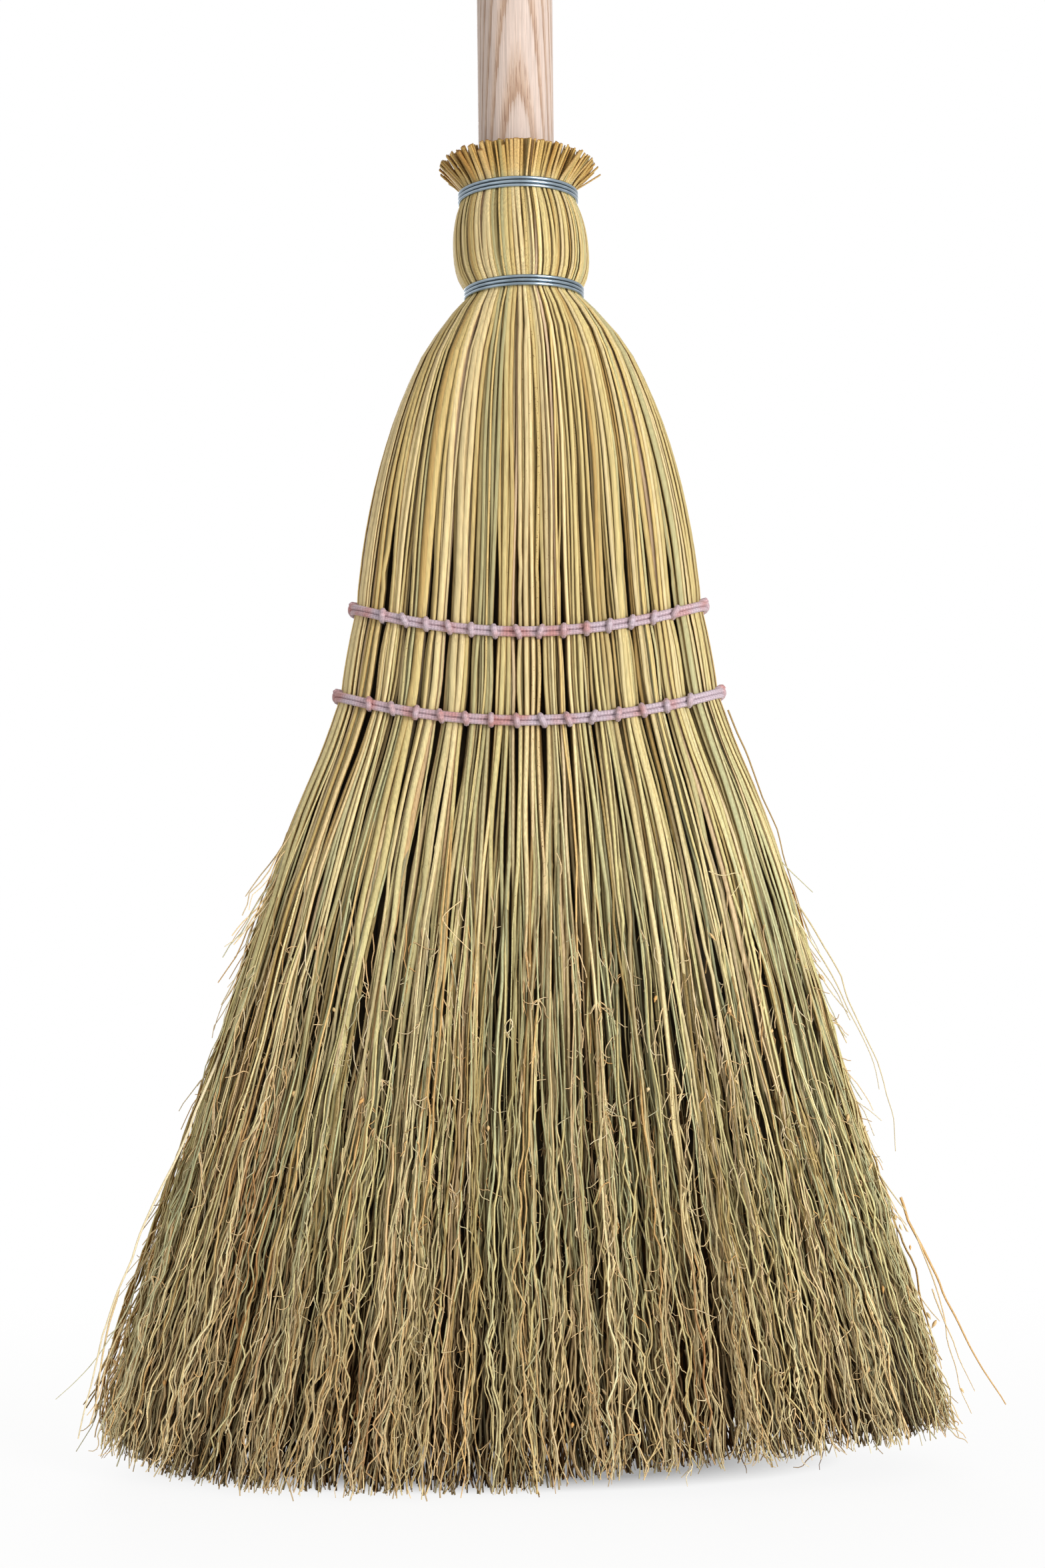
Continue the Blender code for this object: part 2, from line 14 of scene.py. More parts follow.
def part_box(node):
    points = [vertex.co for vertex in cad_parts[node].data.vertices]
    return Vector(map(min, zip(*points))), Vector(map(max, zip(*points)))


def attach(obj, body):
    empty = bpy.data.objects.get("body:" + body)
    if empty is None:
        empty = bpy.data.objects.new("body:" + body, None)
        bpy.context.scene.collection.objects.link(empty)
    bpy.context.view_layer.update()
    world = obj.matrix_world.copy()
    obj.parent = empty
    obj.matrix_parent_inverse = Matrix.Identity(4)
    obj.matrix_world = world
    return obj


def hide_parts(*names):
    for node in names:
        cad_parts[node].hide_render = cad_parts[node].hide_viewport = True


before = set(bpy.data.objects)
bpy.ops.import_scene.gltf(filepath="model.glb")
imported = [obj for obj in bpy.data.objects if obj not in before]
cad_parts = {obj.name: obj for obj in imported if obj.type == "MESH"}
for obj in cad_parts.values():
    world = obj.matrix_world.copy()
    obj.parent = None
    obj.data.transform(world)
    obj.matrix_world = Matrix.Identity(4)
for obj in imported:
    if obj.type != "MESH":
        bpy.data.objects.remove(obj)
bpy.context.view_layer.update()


# Camera
# The photograph is taken level from low in front of the head, with the frame raised, so both wires are
# seen from below, the sewn rows from a little above, and the handle leans slightly to the left.
image_height = 2352
focal_pixels = 3500
horizon_row = 1368
sensor_height = 36
camera_distance = 0.867
camera_height = 0.205
camera_aside = -0.0006
camera_roll = math.radians(-0.6)

camera = bpy.data.objects.new("camera", bpy.data.cameras.new("camera"))
camera.data.sensor_fit = "VERTICAL"
camera.data.sensor_height = sensor_height
camera.data.lens = sensor_height * focal_pixels / image_height
camera.data.shift_y = (horizon_row - image_height / 2) / image_height
camera.matrix_world = (
    Matrix.Translation((camera_aside, -camera_distance, camera_height))
    @ Matrix.Rotation(math.pi / 2, 4, "X")
    @ Matrix.Rotation(camera_roll, 4, "Z")
)
bpy.context.scene.collection.objects.link(camera)
bpy.context.scene.camera = camera
bpy.context.scene.view_settings.view_transform = "Standard"


# Floor and light
# A plain white floor that fades into a white surround, one broad soft lamp from the right in front,
# weaker ones from the left and from behind, and an even light from all round.
floor_size = 8.0
floor_white = (0.93, 0.93, 0.925, 1.0)
floor_fades = ((0.078, 0.30), (0.122, 0.88), (0.45, 0.93), (0.95, 1.0))
foot_scale = (0.92, 2.45, 1.0)
foot_shift = (0.014, -0.012, 0.0)
surround_strength = 0.50
lamp_aim = Vector((0.0, 0.0, 0.2))


def feed(node, inputs):
    """Gives each input of a node its value, or links it to the output or the node that feeds it."""
    for key, value in inputs.items():
        if isinstance(value, bpy.types.Node):
            value = next(output for output in value.outputs if output.enabled)
        if isinstance(value, bpy.types.NodeSocket):
            node.id_data.links.new(value, node.inputs[key])
        else:
            node.inputs[key].default_value = value


def node_adder(tree):
    """A function that adds a node to a tree, with its settings and its inputs."""

    def add(kind, inputs=None, **settings):
        node = tree.nodes.new("ShaderNode" + kind)
        for key, value in settings.items():
            setattr(node, key, value)
        feed(node, inputs or {})
        return node

    return add


def new_material(name):
    """A material, its Principled shader, a function that adds a node to it, and the place on the object."""
    material = bpy.data.materials.new(name)
    material.use_nodes = True
    add = node_adder(material.node_tree)
    return material, material.node_tree.nodes["Principled BSDF"], add, add("TexCoord").outputs["Object"]


def ramp(add, value, stops):
    """A colour that changes with a value, from stop to stop."""
    node = add("ValToRGB", {"Fac": value})
    for i, (place, colour) in enumerate(stops):
        stop = node.color_ramp.elements[i] if i < 2 else node.color_ramp.elements.new(place)
        stop.position = place
        stop.color = (*colour, 1.0)
    return node


def new_piece(name, bm, material, smooth=True):
    """The object that a finished bmesh makes."""
    piece = bpy.data.objects.new(name, bpy.data.meshes.new(name))
    bm.to_mesh(piece.data)
    bm.free()
    piece.data.polygons.foreach_set("use_smooth", np.full(len(piece.data.polygons), smooth))
    piece.data.materials.append(material)
    bpy.context.scene.collection.objects.link(piece)
    return piece


white, shader, add, place = new_material("white_floor")
feed(shader, {"Base Color": floor_white, "Roughness": 0.7})
foot = add("Mapping", {"Vector": place, "Scale": foot_scale, "Location": foot_shift})
distance = add("VectorMath", {0: foot}, operation="LENGTH")
fade = ramp(add, distance, [(reach, (share, share, share)) for reach, share in floor_fades])
seen = add("LightPath").outputs["Is Camera Ray"]
seen_far = add("Math", {0: fade, 1: seen}, operation="MULTIPLY")
surface = add("MixShader", {"Fac": seen_far, 1: shader, 2: add("Emission")})
feed(white.node_tree.nodes["Material Output"], {"Surface": surface})

bm = bmesh.new()
bmesh.ops.create_grid(bm, x_segments=1, y_segments=1, size=floor_size / 2)
floor = new_piece("floor", bm, white, smooth=False)

world = bpy.data.worlds.new("surround")
bpy.context.scene.world = world
world.use_nodes = True
add = node_adder(world.node_tree)
seen = add("LightPath").outputs
any_clear = add("Math", {0: seen["Is Glossy Ray"], 1: seen["Is Transmission Ray"]}, operation="MAXIMUM")
any_seen = add("Math", {0: any_clear, 1: seen["Is Camera Ray"]}, operation="MAXIMUM")
strength = add("MapRange", {"Value": any_seen, "To Min": surround_strength, "To Max": 1.0})
feed(world.node_tree.nodes["Background"], {"Color": (1.0, 1.0, 1.0, 1.0), "Strength": strength})

for lamp_name, lamp_place, lamp_size, lamp_power in (
    ("key", (1.15, -1.35, 0.50), 0.7, 26.0),
    ("fill", (-1.4, -1.2, 0.4), 1.2, 4.0),
    ("back", (-0.2, 1.7, 0.6), 1.0, 13.0),
):
    lamp = bpy.data.objects.new(lamp_name, bpy.data.lights.new(lamp_name, "AREA"))
    lamp.data.size = lamp_size
    lamp.data.energy = lamp_power
    facing = (lamp_aim - Vector(lamp_place)).to_track_quat("-Z", "Y")
    lamp.matrix_world = Matrix.Translation(lamp_place) @ facing.to_matrix().to_4x4()
    bpy.context.scene.collection.objects.link(lamp)


# Handle
# A straight round ash stick, turned and sanded, with a rounded end. Its lower end tapers inside the
# neck of the head, where the nail and the wire hold it.
handle_low, handle_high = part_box("handle")
handle_radius = handle_high.x
handle_end_radius = 0.009
handle_taper = 0.030
handle_rounding = 0.009
handle_sides = 72
handle_rings = 24
ring_pitch = 0.0020
ring_tones = (
    (0.00, (0.50, 0.375, 0.30)), (0.10, (0.62, 0.495, 0.425)), (0.50, (0.63, 0.50, 0.425)),
    (0.78, (0.55, 0.395, 0.295)), (0.94, (0.42, 0.27, 0.18)), (1.00, (0.42, 0.275, 0.19)),
)
pore_brown = (0.27, 0.15, 0.095, 1.0)
heart_tilt = 0.046
arch_height = 0.494
arch_rings = 26


def long_grain_group():
    """The fine streaks along wood and straw, and their small dark specks."""
    group = bpy.data.node_groups.new("long_grain", "ShaderNodeTree")
    for name, way, kind, value in (
        ("Vector", "INPUT", "Vector", (0.0, 0.0, 0.0)),
        ("Fineness", "INPUT", "Float", 900.0),
        ("Length", "INPUT", "Float", 0.03),
        ("Speck Size", "INPUT", "Float", 1400.0),
        ("Speck Share", "INPUT", "Float", 0.3),
        ("Streaks", "OUTPUT", "Float", 0.0),
        ("Specks", "OUTPUT", "Float", 0.0),
    ):
        group.interface.new_socket(name, in_out=way, socket_type="NodeSocket" + kind).default_value = value
    add = node_adder(group)
    given = group.nodes.new("NodeGroupInput").outputs
    stretch = add("CombineXYZ", {"X": 1.0, "Y": 1.0, "Z": given["Length"]})
    drawn = add("VectorMath", {0: given["Vector"], 1: stretch}, operation="MULTIPLY")
    streak = add("TexNoise", {"Vector": drawn, "Scale": given["Fineness"], "Detail": 3.0})
    speck = add("TexNoise", {"Vector": given["Vector"], "Scale": given["Speck Size"], "Detail": 1.0})
    reach = add("Math", {0: given["Speck Share"], 1: 0.25}, operation="MULTIPLY")
    edge = add("Math", {0: 0.78, 1: reach}, operation="SUBTRACT")
    top = add("Math", {0: edge, 1: 0.06}, operation="ADD")
    spans = {"Value": speck, "From Min": edge, "From Max": top}
    mask = add("MapRange", spans, interpolation_type="SMOOTHSTEP")
    feed(group.nodes.new("NodeGroupOutput"), {"Streaks": streak, "Specks": mask})
    return group


def toned(add, value, spans, curve="LINEAR"):
    """A value carried from its own span to another one: both ends of the first, then of the second."""
    keys = ("Value", "From Min", "From Max", "To Min", "To Max")
    return add("MapRange", dict(zip(keys, (value, *spans))), interpolation_type=curve)


def multiplied(add, colour, tone):
    """A colour times a tone."""
    inputs = {"Factor": 1.0, "A": colour, "B": tone}
    return add("Mix", inputs, data_type="RGBA", blend_type="MULTIPLY")


long_grain = long_grain_group()
ash, shader, add, place = new_material("ash_wood")
split = add("SeparateXYZ", {"Vector": place}).outputs
# The rings centre on a heart behind the stick, which leans, so the front shows a cathedral figure.
heart = handle_radius - arch_rings * ring_pitch - heart_tilt * arch_height
lean = add("Math", {0: split["Z"], 1: heart_tilt, 2: heart}, operation="MULTIPLY_ADD")
depth = add("Math", {0: split["Y"], 1: lean}, operation="ADD")
stretch = add("Mapping", {"Vector": place, "Scale": (1.0, 1.0, 0.35)})
warp = add("TexNoise", {"Vector": stretch, "Scale": 9.0, "Detail": 2.0})
warped = add("Math", {0: warp, 1: 0.006, 2: split["X"]}, operation="MULTIPLY_ADD")
around = add("VectorMath", {0: add("CombineXYZ", {"X": warped, "Y": depth})}, operation="LENGTH")
grain = add("Group", {"Vector": place, "Fineness": 2200.0, "Length": 0.016}, node_tree=long_grain)
streaks = grain.outputs["Streaks"]
jag = add("Math", {0: streaks, 1: 0.0007, 2: around}, operation="MULTIPLY_ADD")
ring = add("Math", {0: add("Math", {0: jag, 1: ring_pitch}, operation="DIVIDE")}, operation="FRACT")
streak_tone = toned(add, streaks, (0.35, 0.65, 0.82, 1.07))
streaked = multiplied(add, ramp(add, ring, ring_tones), streak_tone)
# The pores of each year's early wood show as short dark dashes along the stick.
pores = add("Group", {"Vector": place, "Fineness": 3400.0, "Length": 0.030}, node_tree=long_grain)
pore_share = toned(add, pores.outputs["Streaks"], (0.53, 0.58, 0.0, 0.9), "SMOOTHSTEP")
pore_rows = toned(add, ring, (0.50, 0.86, 0.22, 1.0), "SMOOTHSTEP")
pore_mask = add("Math", {0: pore_share, 1: pore_rows}, operation="MULTIPLY")
pored = add("Mix", {"Factor": pore_mask, "A": streaked, "B": pore_brown}, data_type="RGBA")
bump = add("Bump", {"Height": streaks, "Strength": 0.25, "Distance": 0.0003})
sheen = toned(add, streaks, (0.0, 1.0, 0.42, 0.62))
feed(shader, {"Base Color": pored, "Roughness": sheen, "Normal": bump})

bm = bmesh.new()
profile = [(0.0, handle_high.z)]
for i in range(7):
    turn = math.pi / 2 * i / 6
    across = handle_radius - handle_rounding * (1 - math.sin(turn))
    profile.append((across, handle_high.z - handle_rounding * (1 - math.cos(turn))))
straight = handle_high.z - handle_rounding - (handle_low.z + handle_taper)
for i in range(1, handle_rings + 1):
    profile.append((handle_radius, handle_high.z - handle_rounding - straight * i / handle_rings))
profile += [(handle_end_radius, handle_low.z), (0.0, handle_low.z)]
corners = [bm.verts.new((across, 0.0, height)) for across, height in profile]
edges = [bm.edges.new(pair) for pair in zip(corners, corners[1:])]
bmesh.ops.spin(
    bm, geom=corners + edges, cent=(0, 0, 0), axis=(0, 0, 1), angle=2 * math.pi,
    steps=handle_sides, use_merge=True,
)
bmesh.ops.remove_doubles(bm, verts=bm.verts, dist=0.00001)
bmesh.ops.recalc_face_normals(bm, faces=bm.faces)
handle = new_piece("ash_handle", bm, ash)
handle.data.set_sharp_from_angle(angle=math.radians(40))
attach(handle, "root")
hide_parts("handle")


# Straw bundles
# Dried broomcorn, bound at the neck and sewn flat in two rows, which parts it into fifteen bundles. The
# golden stalks run whole from the cut fringe to the floor, and turn olive, branch and fray on the way.
bundle_count = 15
wire_diameter = 0.0013
band_reach = 0.0023
ring_heights = []
for node in ("lower_wire_binding", "upper_wire_binding"):
    low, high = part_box(node)
    ring_heights.append((low.z + high.z) / 2)
lower_ring, upper_ring = ring_heights
neck_radius = high.x - wire_diameter - 0.0003
row_heights = []
for node in ("lower_row_band", "upper_row_band"):
    low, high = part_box(node)
    row_heights.append(low.z + band_reach)
row_dip = high.z - low.z - 2 * band_reach
lower_row, upper_row = row_heights
barrel_radius = 0.0252

# Height, half width, half thickness and how far the straw is spread from the round to the flat
head_form = np.array([
    (0.0, 0.1705, 0.0530, 1.0),
    (0.1300, 0.1255, 0.0385, 1.0),
    (0.2500, 0.0842, 0.0228, 1.0),
    (0.2660, 0.0772, 0.0205, 1.0),
    (0.2850, 0.0708, 0.0198, 1.0),
    (0.3000, 0.0680, 0.0203, 1.0),
    (0.3180, 0.0646, 0.0198, 1.0),
    (0.3450, 0.0608, 0.0204, 0.99),
    (0.3700, 0.0553, 0.0210, 0.88),
    (0.3950, 0.0468, 0.0215, 0.70),
    (0.4150, 0.0366, 0.0216, 0.45),
    (0.4260, 0.0276, 0.0214, 0.18),
    (lower_ring, neck_radius, neck_radius, 0.0),
    (lower_ring + 0.005, 0.0236, 0.0236, 0.0),
    ((lower_ring + upper_ring) / 2, barrel_radius, barrel_radius, 0.0),
    (upper_ring - 0.006, 0.0232, 0.0232, 0.0),
    (upper_ring, neck_radius, neck_radius, 0.0),
    (upper_ring + 0.020, neck_radius, neck_radius, 0.0),
])
flat_row = 6
flat_power = 2.3
# The neck is bent a little to one side of the head: how far the straw lies aside of the handle's axis
sway_heights = (0.0, 0.13, 0.25, 0.38, 0.42, lower_ring, upper_ring, upper_ring + 0.02)
sway_amounts = (0.0004, 0.0010, 0.0026, 0.0032, 0.0032, 0.0022, 0.0004, 0.0)
gap_at_row = 0.0021
gap_above = 0.062
gap_below = 0.052
pressed_reach = 0.004
pressed_depth = 0.0006
crown_depth = 0.0013
bundle_edges = np.linspace(-0.82, 0.82, bundle_count - 1)


def sway(height):
    return np.interp(height, sway_heights, sway_amounts)


def head_at(height, column):
    """The value of a column of the head's form at each height, on a smooth curve through the table."""
    heights, values = head_form[:, 0], head_form[:, column]
    slopes = np.gradient(values, heights)
    i = np.clip(np.searchsorted(heights, height) - 1, 0, len(heights) - 2)
    run = heights[i + 1] - heights[i]
    t = np.clip((height - heights[i]) / run, 0.0, 1.0)
    start = (2 * t**3 - 3 * t**2 + 1) * values[i] + (t**3 - 2 * t**2 + t) * run * slopes[i]
    end = (3 * t**2 - 2 * t**3) * values[i + 1] + (t**3 - t**2) * run * slopes[i + 1]
    return start + end


def squared(wave, power):
    """A sine or cosine that draws the head's flat oval in place of a circle."""
    return np.sign(wave) * np.abs(wave) ** (2 / power)


def bulge(across, power):
    """The share of the half thickness at a share of the half width."""
    return np.clip(1 - np.abs(across) ** power, 0, 1) ** (1 / power)


def blend(start, end, share):
    """Goes from one value or colour to another by a share."""
    return start * (1 - share) + end * share


def run_length(points):
    """How far along a line each of its points lies."""
    return np.concatenate([[0], np.cumsum(np.linalg.norm(np.diff(points, axis=0), axis=1))])


# Equal shares of the way round the flat head are equal lengths of straw, so they aren't equal turns.
flat_turn = np.linspace(0, 2 * np.pi, 4000)
flat_line = squared(np.array((np.cos(flat_turn), np.sin(flat_turn))), flat_power).T * head_form[flat_row, 1:3]
round_share = run_length(flat_line) / run_length(flat_line)[-1]


def row_gap(height, across):
    """How wide the straw is parted beside the twine, at a height and a share of the half width."""
    low = lower_row + row_dip * across**2
    high = upper_row + row_dip * across**2
    between = np.clip((height - low) / (high - low), 0, 1)
    share = 1 - 0.5 * np.sin(np.pi * between)
    share = np.where(height > high, np.clip(1 - (height - high) / gap_above, 0, 1), share)
    share = np.where(height < low, np.clip(1 - (low - height) / gap_below, 0, 1), share)
    pressed = sum(np.exp(-(((height - row) / pressed_reach) ** 2)) for row in (low, high))
    return gap_at_row * share, share, pressed


def head_place(way_round, height, inset, kept_in=None):
    """(x, y) for shares of the way round the head from +X, heights and depths below the surface.

    A strand that is kept in a bundle doesn't cross the gap to the next one where the straw lies flat.
    """
    half_width, half_thickness, spread = (head_at(height, column) for column in (1, 2, 3))
    flat = np.interp(way_round % 1, round_share, flat_turn)
    turn = (1 - spread) * 2 * np.pi * (way_round % 1) + spread * flat
    power = 2 + (flat_power - 2) * spread
    across = squared(np.cos(turn), power)
    gap, gap_share, pressed = row_gap(height, across)
    gap, gap_share = gap * spread, gap_share * spread
    bundle = np.searchsorted(bundle_edges, across) if kept_in is None else kept_in
    left = np.concatenate([[-1], bundle_edges])[bundle]
    right = np.concatenate([bundle_edges, [1]])[bundle]
    middle, half = (left + right) / 2, (right - left) / 2
    middle = np.where(bundle == 0, -1, np.where(bundle == len(bundle_edges), 1, middle))
    half = np.where(np.abs(middle) == 1, 2 * half, half)
    loose = 50 * (1 - spread)
    off = np.clip((across - middle) / half, -1 - loose, 1 + loose)
    across = middle + off * half * (1 - np.clip(gap / 2 / (half * half_width), 0, 0.6))
    front = np.sign(np.sin(turn))
    depth = bulge(across, power)
    x, y = half_width * across, half_thickness * depth * front
    steep_x = np.sign(x) * np.abs(across) ** (power - 1) / half_width
    steep_y = front * depth ** (power - 1) / half_thickness
    steep = np.hypot(steep_x, steep_y) + 1e-9
    crown = crown_depth * gap_share * (1 - np.sqrt(np.clip(1 - off**2, 0, 1)))
    inset = inset + crown + pressed_depth * pressed
    return x - inset * steep_x / steep + sway(height), y - inset * steep_y / steep


# The colours of the stalks, of the olive skirt and of the bleached tips, and how often each is drawn
tints = np.array([
    (0.880, 0.700, 0.360), (0.810, 0.610, 0.250), (0.720, 0.570, 0.250),
    (0.600, 0.535, 0.270), (0.840, 0.620, 0.390), (0.650, 0.430, 0.150),
])
tint_odds = (0.28, 0.24, 0.20, 0.16, 0.07, 0.05)
skirt_tints = np.array([
    (0.820, 0.700, 0.380), (0.650, 0.590, 0.285), (0.520, 0.545, 0.310),
    (0.820, 0.635, 0.360), (0.390, 0.285, 0.105), (0.750, 0.500, 0.205),
])
skirt_odds = (0.30, 0.29, 0.18, 0.11, 0.09, 0.03)
tip_tints = np.array([
    (0.880, 0.660, 0.360), (0.760, 0.630, 0.360), (0.600, 0.560, 0.350),
    (0.780, 0.490, 0.200), (0.460, 0.310, 0.130), (0.900, 0.760, 0.490),
])
tip_odds = (0.30, 0.24, 0.16, 0.11, 0.09, 0.10)
# Painted shade: the browner tint of the sides of the stalks that face the neighbours and the inside
painted_crevice_shade = np.array((0.44, 0.24, 0.06))
# Painted shade: the dark tint of strands that lie deep in the head
painted_deep_shade = np.array((0.15, 0.075, 0.015))
fringe_tint = np.array((0.90, 0.76, 0.57))
speck_brown = (0.16, 0.075, 0.02, 1.0)
# How much of the sides stays out of the painted shade, by height
edge_heights = (0.41, 0.43)
edge_lights = (0.22, 0.50)
# Where the painted shade of deep strands begins below the surface, by height, how far it reaches and how it
# grows
shade_heights = (0.0, 0.14, 0.40, 0.43)
shade_starts = (0.0016, 0.0006, 0.0008, 0.0018)
shade_reach = 0.0065
shade_power = 0.7
rust_tint = np.array((0.520, 0.235, 0.070))
rust_places = ((-0.098, 0.090, 0.016, 0.070), (0.062, 0.045, 0.014, 0.045), (-0.060, 0.030, 0.010, 0.030))
fringe_root = upper_ring + 0.0022
press_heights = (0.0, 0.10, 0.20, 0.25, 0.345, 0.415, lower_ring, upper_ring, upper_ring + 0.012)
press_across = (1.0, 1.05, 1.08, 1.08, 1.10, 1.06, 1.04, 1.00, 0.96)
press_deep = (1.0, 0.85, 0.70, 0.50, 0.42, 0.36, 0.33, 0.32, 0.28)
atlas_rows = 4
rng = np.random.default_rng(11)

straw, shader, add, place = new_material("broomcorn")
tint = add("Attribute", attribute_name="straw_tint").outputs
grain = add("Group", {"Vector": place, "Fineness": 3800.0, "Length": 0.035}, node_tree=long_grain)
feed(grain, {"Speck Size": 1700.0, "Speck Share": tint["Alpha"]})
streaks = grain.outputs["Streaks"]
streaked = multiplied(add, tint["Color"], toned(add, streaks, (0.3, 0.7, 0.70, 1.16)))
dirt = add("Math", {0: grain.outputs["Specks"], 1: 0.75}, operation="MULTIPLY")
specked = add("Mix", {"Factor": dirt, "A": streaked, "B": speck_brown}, data_type="RGBA")
sheen = toned(add, streaks, (0.0, 1.0, 0.40, 0.66))
bump = add("Bump", {"Height": streaks, "Strength": 0.3, "Distance": 0.00012})
feed(shader, {"Base Color": specked, "Roughness": sheen, "IOR": 1.25, "Normal": bump})


def drawn_tint(colours, odds):
    return colours[rng.choice(len(colours), p=odds)]


def strand_tint(path, base, own, shade, specks):
    """Colour and speckling along a strand: its tint above, its own in the skirt and tan at the tips."""
    height = path[:, 2]
    skirt = np.clip((0.33 - height) / 0.14, 0, 1)[:, None] * 0.85
    tip = np.clip((0.095 - height) / 0.09, 0, 1)[:, None] * rng.uniform(0.35, 1.0)
    tip_tint = drawn_tint(tip_tints, tip_odds) * rng.uniform(0.88, 1.25)
    colour = blend(blend(base, own, skirt), tip_tint, tip)
    for x, z, wide, tall in rust_places:
        off = ((path[:, 0] - x) / wide) ** 2 + ((height - z) / tall) ** 2
        stain = np.exp(-off)[:, None] * rng.choice((0.0, 0.25, 0.85), p=(0.5, 0.3, 0.2))
        colour = blend(colour, rust_tint, stain)
    cut_end = np.clip((height - fringe_root) / 0.004, 0, 1)[:, None]
    colour = colour * shade * blend(1, fringe_tint, cut_end)
    return np.column_stack([colour, np.full(len(path), specks)])


def add_tubes(bm, strands, resolution):
    """Puts a tube along each strand's path into a bmesh, as thick at each point as its radius says."""
    curve = bpy.data.curves.new("strands", "CURVE")
    curve.dimensions = "3D"
    curve.bevel_depth = 1.0
    curve.bevel_resolution = resolution
    for path, radius, _ in strands:
        spline = curve.splines.new("POLY")
        spline.points.add(len(path) - 1)
        spline.points.foreach_set("co", np.column_stack([path, np.ones(len(path))]).ravel())
        spline.points.foreach_set("radius", radius)
    guide = bpy.data.objects.new("strands", curve)
    bpy.context.scene.collection.objects.link(guide)
    tubes = bpy.data.meshes.new_from_object(guide.evaluated_get(bpy.context.evaluated_depsgraph_get()))
    bpy.data.objects.remove(guide)
    bm.from_mesh(tubes)
    bpy.data.meshes.remove(tubes)


def close_ends(bm):
    """Closes each open end with a flat cap that has a sharp rim."""
    rims = [edge for edge in bm.edges if edge.is_boundary]
    for cap in bmesh.ops.holes_fill(bm, edges=rims, sides=0)["faces"]:
        for edge in cap.edges:
            edge.smooth = False


def corners_of(mesh):
    place = np.empty(3 * len(mesh.vertices))
    mesh.vertices.foreach_get("co", place)
    return place.reshape(-1, 3)


def straw_piece(name, groups, material, in_the_head=True):
    """One piece from groups of strands: the sides of a strand, whether it is pressed flat, and its rows."""
    bm = bmesh.new()
    rows = []
    columns = math.ceil(sum(len(strands) for _, _, strands in groups) / atlas_rows)
    cell = ring = 0
    for resolution, is_pressed, strands in groups:
        add_tubes(bm, strands, resolution)
        sides = 4 + 2 * resolution
        for path, _, colour in strands:
            count = len(path)
            along = np.linspace(0, 1, count)
            same = np.tile((float(is_pressed), cell), (count, 1))
            strand = np.column_stack([path, colour, along, ring + np.arange(count), same])
            side = np.tile(np.arange(sides) % 2, count)
            rows.append(np.column_stack([np.repeat(strand, sides, axis=0), side]))
            ring += count
            cell += 1
    close_ends(bm)
    piece = new_piece(name, bm, material)
    mesh = piece.data
    corner_rows = np.concatenate(rows)
    centre, tint_of = corner_rows[:, :3], corner_rows[:, 3:7]
    way_of, ring_of, pressed, cell_of, side_of = corner_rows[:, 7:].T
    # The sides that face the neighbours and the inside get painted shade, a browner and darker tint, and
    # strands that lie deeper in the head get darker painted shade. The wire and the sewing press the stalks
    # flat: narrow and deep in the neck, wide and thin at the rows.
    off = corners_of(mesh) - centre
    height = centre[:, 2]
    x_off, half_width, half_thickness = centre[:, 0] - sway(height), head_at(height, 1), head_at(height, 2)
    outward = np.column_stack([x_off / half_width**2, centre[:, 1] / half_thickness**2])
    outward /= np.linalg.norm(outward, axis=1)[:, None] + 1e-12
    radial = (off[:, :2] * outward).sum(axis=1)
    if in_the_head:
        # Painted shade on the sides that face the neighbours and the inside
        edge_light = np.interp(height, edge_heights, edge_lights)
        facing = np.clip(1.3 * radial / (np.linalg.norm(off, axis=1) + 1e-12) + edge_light, 0, 1)[:, None]
        tint_of[:, :3] *= blend(painted_crevice_shade, 1, facing)
        # Painted shade that darkens a strand by its depth below the surface of the head, except in the fringe
        power = 2 + (flat_power - 2) * np.clip(head_at(height, 3), 0, 1)
        share = (np.abs(x_off) / half_width) ** power + (np.abs(centre[:, 1]) / half_thickness) ** power
        depth = (1 - share ** (1 / power)) * half_thickness
        start = np.interp(height, shade_heights, shade_starts)
        depth_shade = (np.clip((depth - start) / shade_reach, 0, 1) ** shade_power)[:, None]
        tint_of[:, :3] *= blend(1, painted_deep_shade, np.where(centre[:, 2:] > fringe_root, 0, depth_shade))
    across = 1 + pressed * (np.interp(height, press_heights, press_across) - 1)
    deep = 1 + pressed * (np.interp(height, press_heights, press_deep) - 1)
    off[:, :2] = off[:, :2] * across[:, None] + outward * (radial * (deep - across))[:, None]
    mesh.vertices.foreach_set("co", (centre + off).ravel())
    layer = mesh.attributes.new("straw_tint", "FLOAT_COLOR", "POINT")
    layer.data.foreach_set("color", tint_of.astype(np.float32).ravel())
    # Each strand has its own narrow cell of the map, and its caps take a spot at the cell's end.
    corner = np.empty(len(mesh.loops), np.int64)
    mesh.loops.foreach_get("vertex_index", corner)
    size = np.empty(len(mesh.polygons), np.int64)
    mesh.polygons.foreach_get("loop_total", size)
    face = np.repeat(np.arange(len(size)), size)
    order = np.arange(len(corner)) - np.repeat(np.cumsum(size) - size, size)
    lowest = np.full(len(size), float(ring))
    highest = np.zeros(len(size))
    np.minimum.at(lowest, face, ring_of[corner])
    np.maximum.at(highest, face, ring_of[corner])
    cap = (lowest == highest)[face]
    spot = 2 * np.pi * order / size[face]
    u = np.where(cap, 0.5 + 0.35 * np.cos(spot), 0.1 + 0.8 * side_of[corner])
    v = way_of[corner] * 0.9 + 0.05 + np.where(cap, 0.01 * np.sin(spot), 0)
    column, row = cell_of[corner] % columns, cell_of[corner] // columns
    chart = np.column_stack([(column + u) / columns, (row + v) / atlas_rows])
    mesh.uv_layers.new(name="OFBake").data.foreach_set("uv", chart.astype(np.float32).ravel())
    return piece


